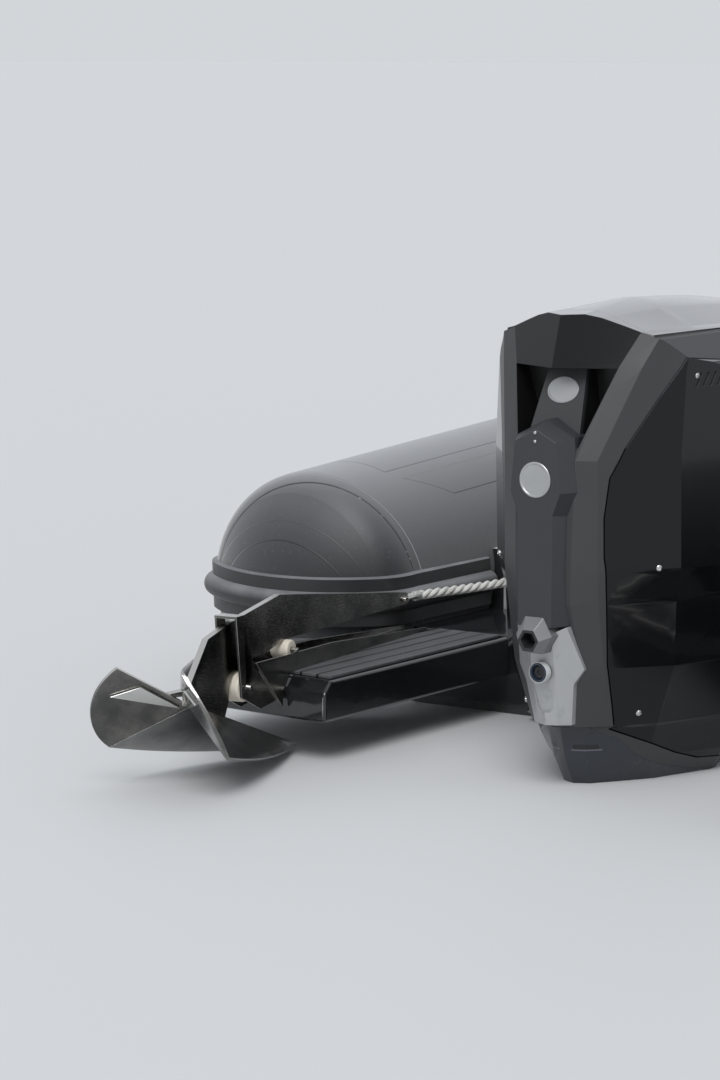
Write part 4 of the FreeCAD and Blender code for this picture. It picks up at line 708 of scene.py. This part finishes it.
# Small fittings on the cowl: socket screws, the flushing port in its ring, and two plain round bosses.
# The port has a blue plug with a black core, and the screws hold the side panels and the spine.
PORT_AT = Vector((-0.8035, 0, 0.283))
PANEL_SCREWS, PANEL_SCREW_R = ((-0.5525, 0.956), (-0.6426, 0.5218), (-0.6200, 0.1763)), 0.0072
SPINE_SCREWS, SPINE_SCREW_R = (0.835, 0.815), 0.0045
BOSSES = (("spine_boss", "cowl_spine", 0.7277, 1.0), ("strut_boss", "cowl_frame", 0.9225, 0.78))
ASTERN, ABEAM = -1.2, 0.6
paint, shader, place = material("port_ring")
worn = place.noise(60.0, 4.0)
give(shader, Base_Color=worn.blend((0.44, 0.46, 0.48), (0.60, 0.60, 0.58)), Roughness=0.35 + worn * 0.2)
ring = turned([(0.0222, -0.006), (0.0222, 0.010), (0.0228, 0.0115), (0.0240, 0.0115), (0.0246, 0.010),
               (0.0246, -0.006), (0.0222, -0.006)], 48)
placed(ring, "flushing_port_ring", PORT_AT, Vector((-1, 0, 0)), "motor", paint)
paint, shader, place = material("port_plug")
tone = place.noise(90.0, 3.0)
give(shader, Base_Color=tone.blend((0.010, 0.018, 0.035), (0.018, 0.030, 0.055)), Roughness=0.2 + tone * 0.15,
     Coat_Weight=0.5)
plug = turned([(0.0150, -0.006), (0.0221, -0.006), (0.0221, 0.010), (0.0205, 0.0125), (0.0180, 0.0125),
               (0.0165, 0.0105), (0.0150, 0.002), (0.0150, -0.006)], 48)
placed(plug, "flushing_port_plug", PORT_AT, Vector((-1, 0, 0)), "motor", paint)
core = turned([(0, -0.006), (0.0149, -0.006), (0.0149, 0.003), (0.0135, 0.0045), (0.0060, 0.0045),
               (0.0045, 0.0015), (0, 0.001)], 48)
placed(core, "flushing_port_core", PORT_AT, Vector((-1, 0, 0)), "motor", dash_paint)
screw_paint, shader, place = material("screw_steel")
tone = place.noise(300.0, 3.0)
give(shader, Base_Color=tone.blend((0.52, 0.52, 0.52), (0.64, 0.64, 0.63)), Metallic=1.0, Roughness=0.18 + tone * 0.1)


def landed(name, start, way):
    """Where a line meets a carried-over piece, and the outward direction there."""
    mesh = nodes[name].data
    tree = BVHTree.FromPolygons([vertex.co for vertex in mesh.vertices], [face.vertices for face in mesh.polygons])
    return tree.ray_cast(start, way)[:2]


def socket_screw(name, centre, out, radius):
    """A button-headed screw with a recessed socket."""
    head = turned([(0, -0.002), (radius, -0.002), (radius, 0.0012), (radius * 0.8, 0.0030), (radius * 0.5, 0.0038),
                   (radius * 0.45, 0.0012), (0, 0.0008)], 24)
    placed(head, name, centre, out, "motor", screw_paint)


for number, (x_at, z_at) in enumerate(PANEL_SCREWS):
    for side, word in ((-1, "starboard"), (1, "port")):
        spot, out = landed("cowl_side_panels", Vector((x_at, side * ABEAM, z_at)), Vector((0, -side, 0)))
        socket_screw(f"panel_screw_{word}_{number}", spot, out, PANEL_SCREW_R)
for number, z_at in enumerate(SPINE_SCREWS):
    spot, out = landed("cowl_spine", Vector((ASTERN, 0, z_at)), Vector((1, 0, 0)))
    socket_screw(f"spine_screw_{number}", spot, out, SPINE_SCREW_R)
paint, shader, place = material("boss_silver")
tone = place.noise(12.0, 4.0)
give(shader, Base_Color=tone.blend((0.36, 0.365, 0.37), (0.48, 0.485, 0.49)), Metallic=0.6,
     Roughness=0.30 + tone * 0.1, Normal=(place.noise(700.0) * 0.3).bump(0.0003))
for name, like, height, squeeze in BOSSES:
    spot, out = landed(like, Vector((ASTERN, 0, height)), Vector((1, 0, 0)))
    boss = turned([(0, -0.002), (0.041, -0.002), (0.041, 0.0012), (0.0395, 0.0026), (0.0365, 0.0026),
                   (0.0350, 0.0012), (0, 0.0010)], 64)
    bmesh.ops.scale(boss, vec=(squeeze, 1.0, 1.0), verts=boss.verts)
    placed(boss, name, spot, out, "motor", paint)

# Cushions: closed-cell foam in charcoal marine vinyl, box-sewn, with sewn channels across the top.
# Press studs and the shape of the seats hold them down.
VOXEL, SWELL, PULL_IN = 0.009, 0.016, 0.005
PRESSURE, QUALITY, LAST_FRAME = 4, 5, 20
CHANNEL_DEEP, CHANNEL_WIDE, CHANNEL_REACH = 0.006, 0.009, 0.03
SEAT_GAP = 0.0005
UPRIGHT = ("bench_back_cushion", "helm_backs")
CUSHIONS = {
    "bench_cushion": ("bench_lid", {"x": (1.23, 1.37), "y": (-0.18, 0.18)}, 0.6),
    "bench_back_cushion": ("hull", {"y": (-0.36, -0.18, 0.0, 0.18, 0.36)}, 0.6),
    "helm_cushions": ("hull", {"x": (2.18, 2.30)}, 0.65),
    "helm_backs": ("hull", {"z": (0.86, 0.98)}, 0.65),
    "console_cushion": ("hull", {"x": (3.79, 3.92)}, 0.6),
    "bow_cushion": ("bow_lid", {"x": (5.03, 5.25, 5.47)}, 0.6),
    "bow_head_cushion": ("hull", {"x": (5.85, 6.00)}, 0.6),
}
vinyl, shader, place = material("marine_vinyl")
pebble = place.node("ShaderNodeTexVoronoi", {}, {"Vector": place, "Scale": 480.0})
crease = place.node("ShaderNodeMapping", {}, {"Vector": place, "Scale": (1.0, 1.0, 2.0)}).noise(16.0, 4.0, 0.6)
sun = place.noise(3.0, 4.0).step(0.3, 0.75)
colour = (sun * 0.6 + crease * 0.3).blend((0.095, 0.10, 0.108), (0.15, 0.155, 0.165))
give(shader, Base_Color=colour, Roughness=0.46 + sun * 0.12, Normal=(pebble * 0.25 + crease * 1.2).bump(0.0016))


def cushion(name):
    """Foam pads over a carried-over block: remeshed, blown up by pressure and eased back at the corners."""
    bm = bmesh.new()
    bm.from_mesh(nodes[name].data)
    bmesh.ops.remove_doubles(bm, verts=bm.verts, dist=2e-5)
    low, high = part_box(name)
    middle = (low + high) / 2
    for vertex in bm.verts:
        for axis in range(3):
            near = vertex.co[axis] - middle[axis]
            vertex.co[axis] -= math.copysign(min(PULL_IN, abs(near) / 3), near)
    pad = bpy.data.objects.new(name + "_sewn", bpy.data.meshes.new(name + "_sewn"))
    bm.to_mesh(pad.data)
    bm.free()
    bpy.context.scene.collection.objects.link(pad)
    fine = pad.modifiers.new("remesh", "REMESH")
    fine.mode, fine.voxel_size = "VOXEL", VOXEL
    bpy.context.view_layer.update()
    pad.data = bpy.data.meshes.new_from_object(pad.evaluated_get(bpy.context.evaluated_depsgraph_get()))
    pad.modifiers.clear()
    rest = [vertex.co.copy() for vertex in pad.data.vertices]
    cloth = pad.modifiers.new("pressure", "CLOTH")
    cloth.settings.use_pressure = True
    cloth.settings.uniform_pressure_force = PRESSURE
    cloth.settings.effector_weights.gravity = 0
    cloth.settings.quality = QUALITY
    for frame_number in range(1, LAST_FRAME + 1):
        bpy.context.scene.frame_set(frame_number)
    blown = bpy.data.meshes.new_from_object(pad.evaluated_get(bpy.context.evaluated_depsgraph_get()))
    pad.modifiers.clear()
    for vertex, start in zip(blown.vertices, rest):
        move = vertex.co - start
        if move.length > SWELL:
            vertex.co = start + move * (SWELL / move.length)
    pad.data = blown
    bpy.context.scene.frame_set(1)
    pad.data.materials.clear()
    pad.data.materials.append(vinyl)
    return pad


for name, (body, channels, firmness) in CUSHIONS.items():
    pad = cushion(name)
    low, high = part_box(name)
    lines = [("xyz".index(axis), at) for axis, places in channels.items() for at in places]
    face_axis, face_at = (0, high.x) if name in UPRIGHT else (2, high.z)
    for vertex in pad.data.vertices:
        depth = sum(math.exp(-(((vertex.co[axis] - at) / CHANNEL_WIDE) ** 2)) for axis, at in lines)
        on_face = max(0.0, 1 - max(0.0, face_at - vertex.co[face_axis]) / CHANNEL_REACH)
        vertex.co[face_axis] -= CHANNEL_DEEP * min(depth, 1.0) * on_face
        if name not in UPRIGHT:
            vertex.co.z = max(vertex.co.z, low.z + SEAT_GAP)
    smooth = pad.modifiers.new("subdivision", "SUBSURF")
    smooth.levels = smooth.render_levels = 1
    pad.data.shade_smooth()
    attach(pad, body)
    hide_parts(name)
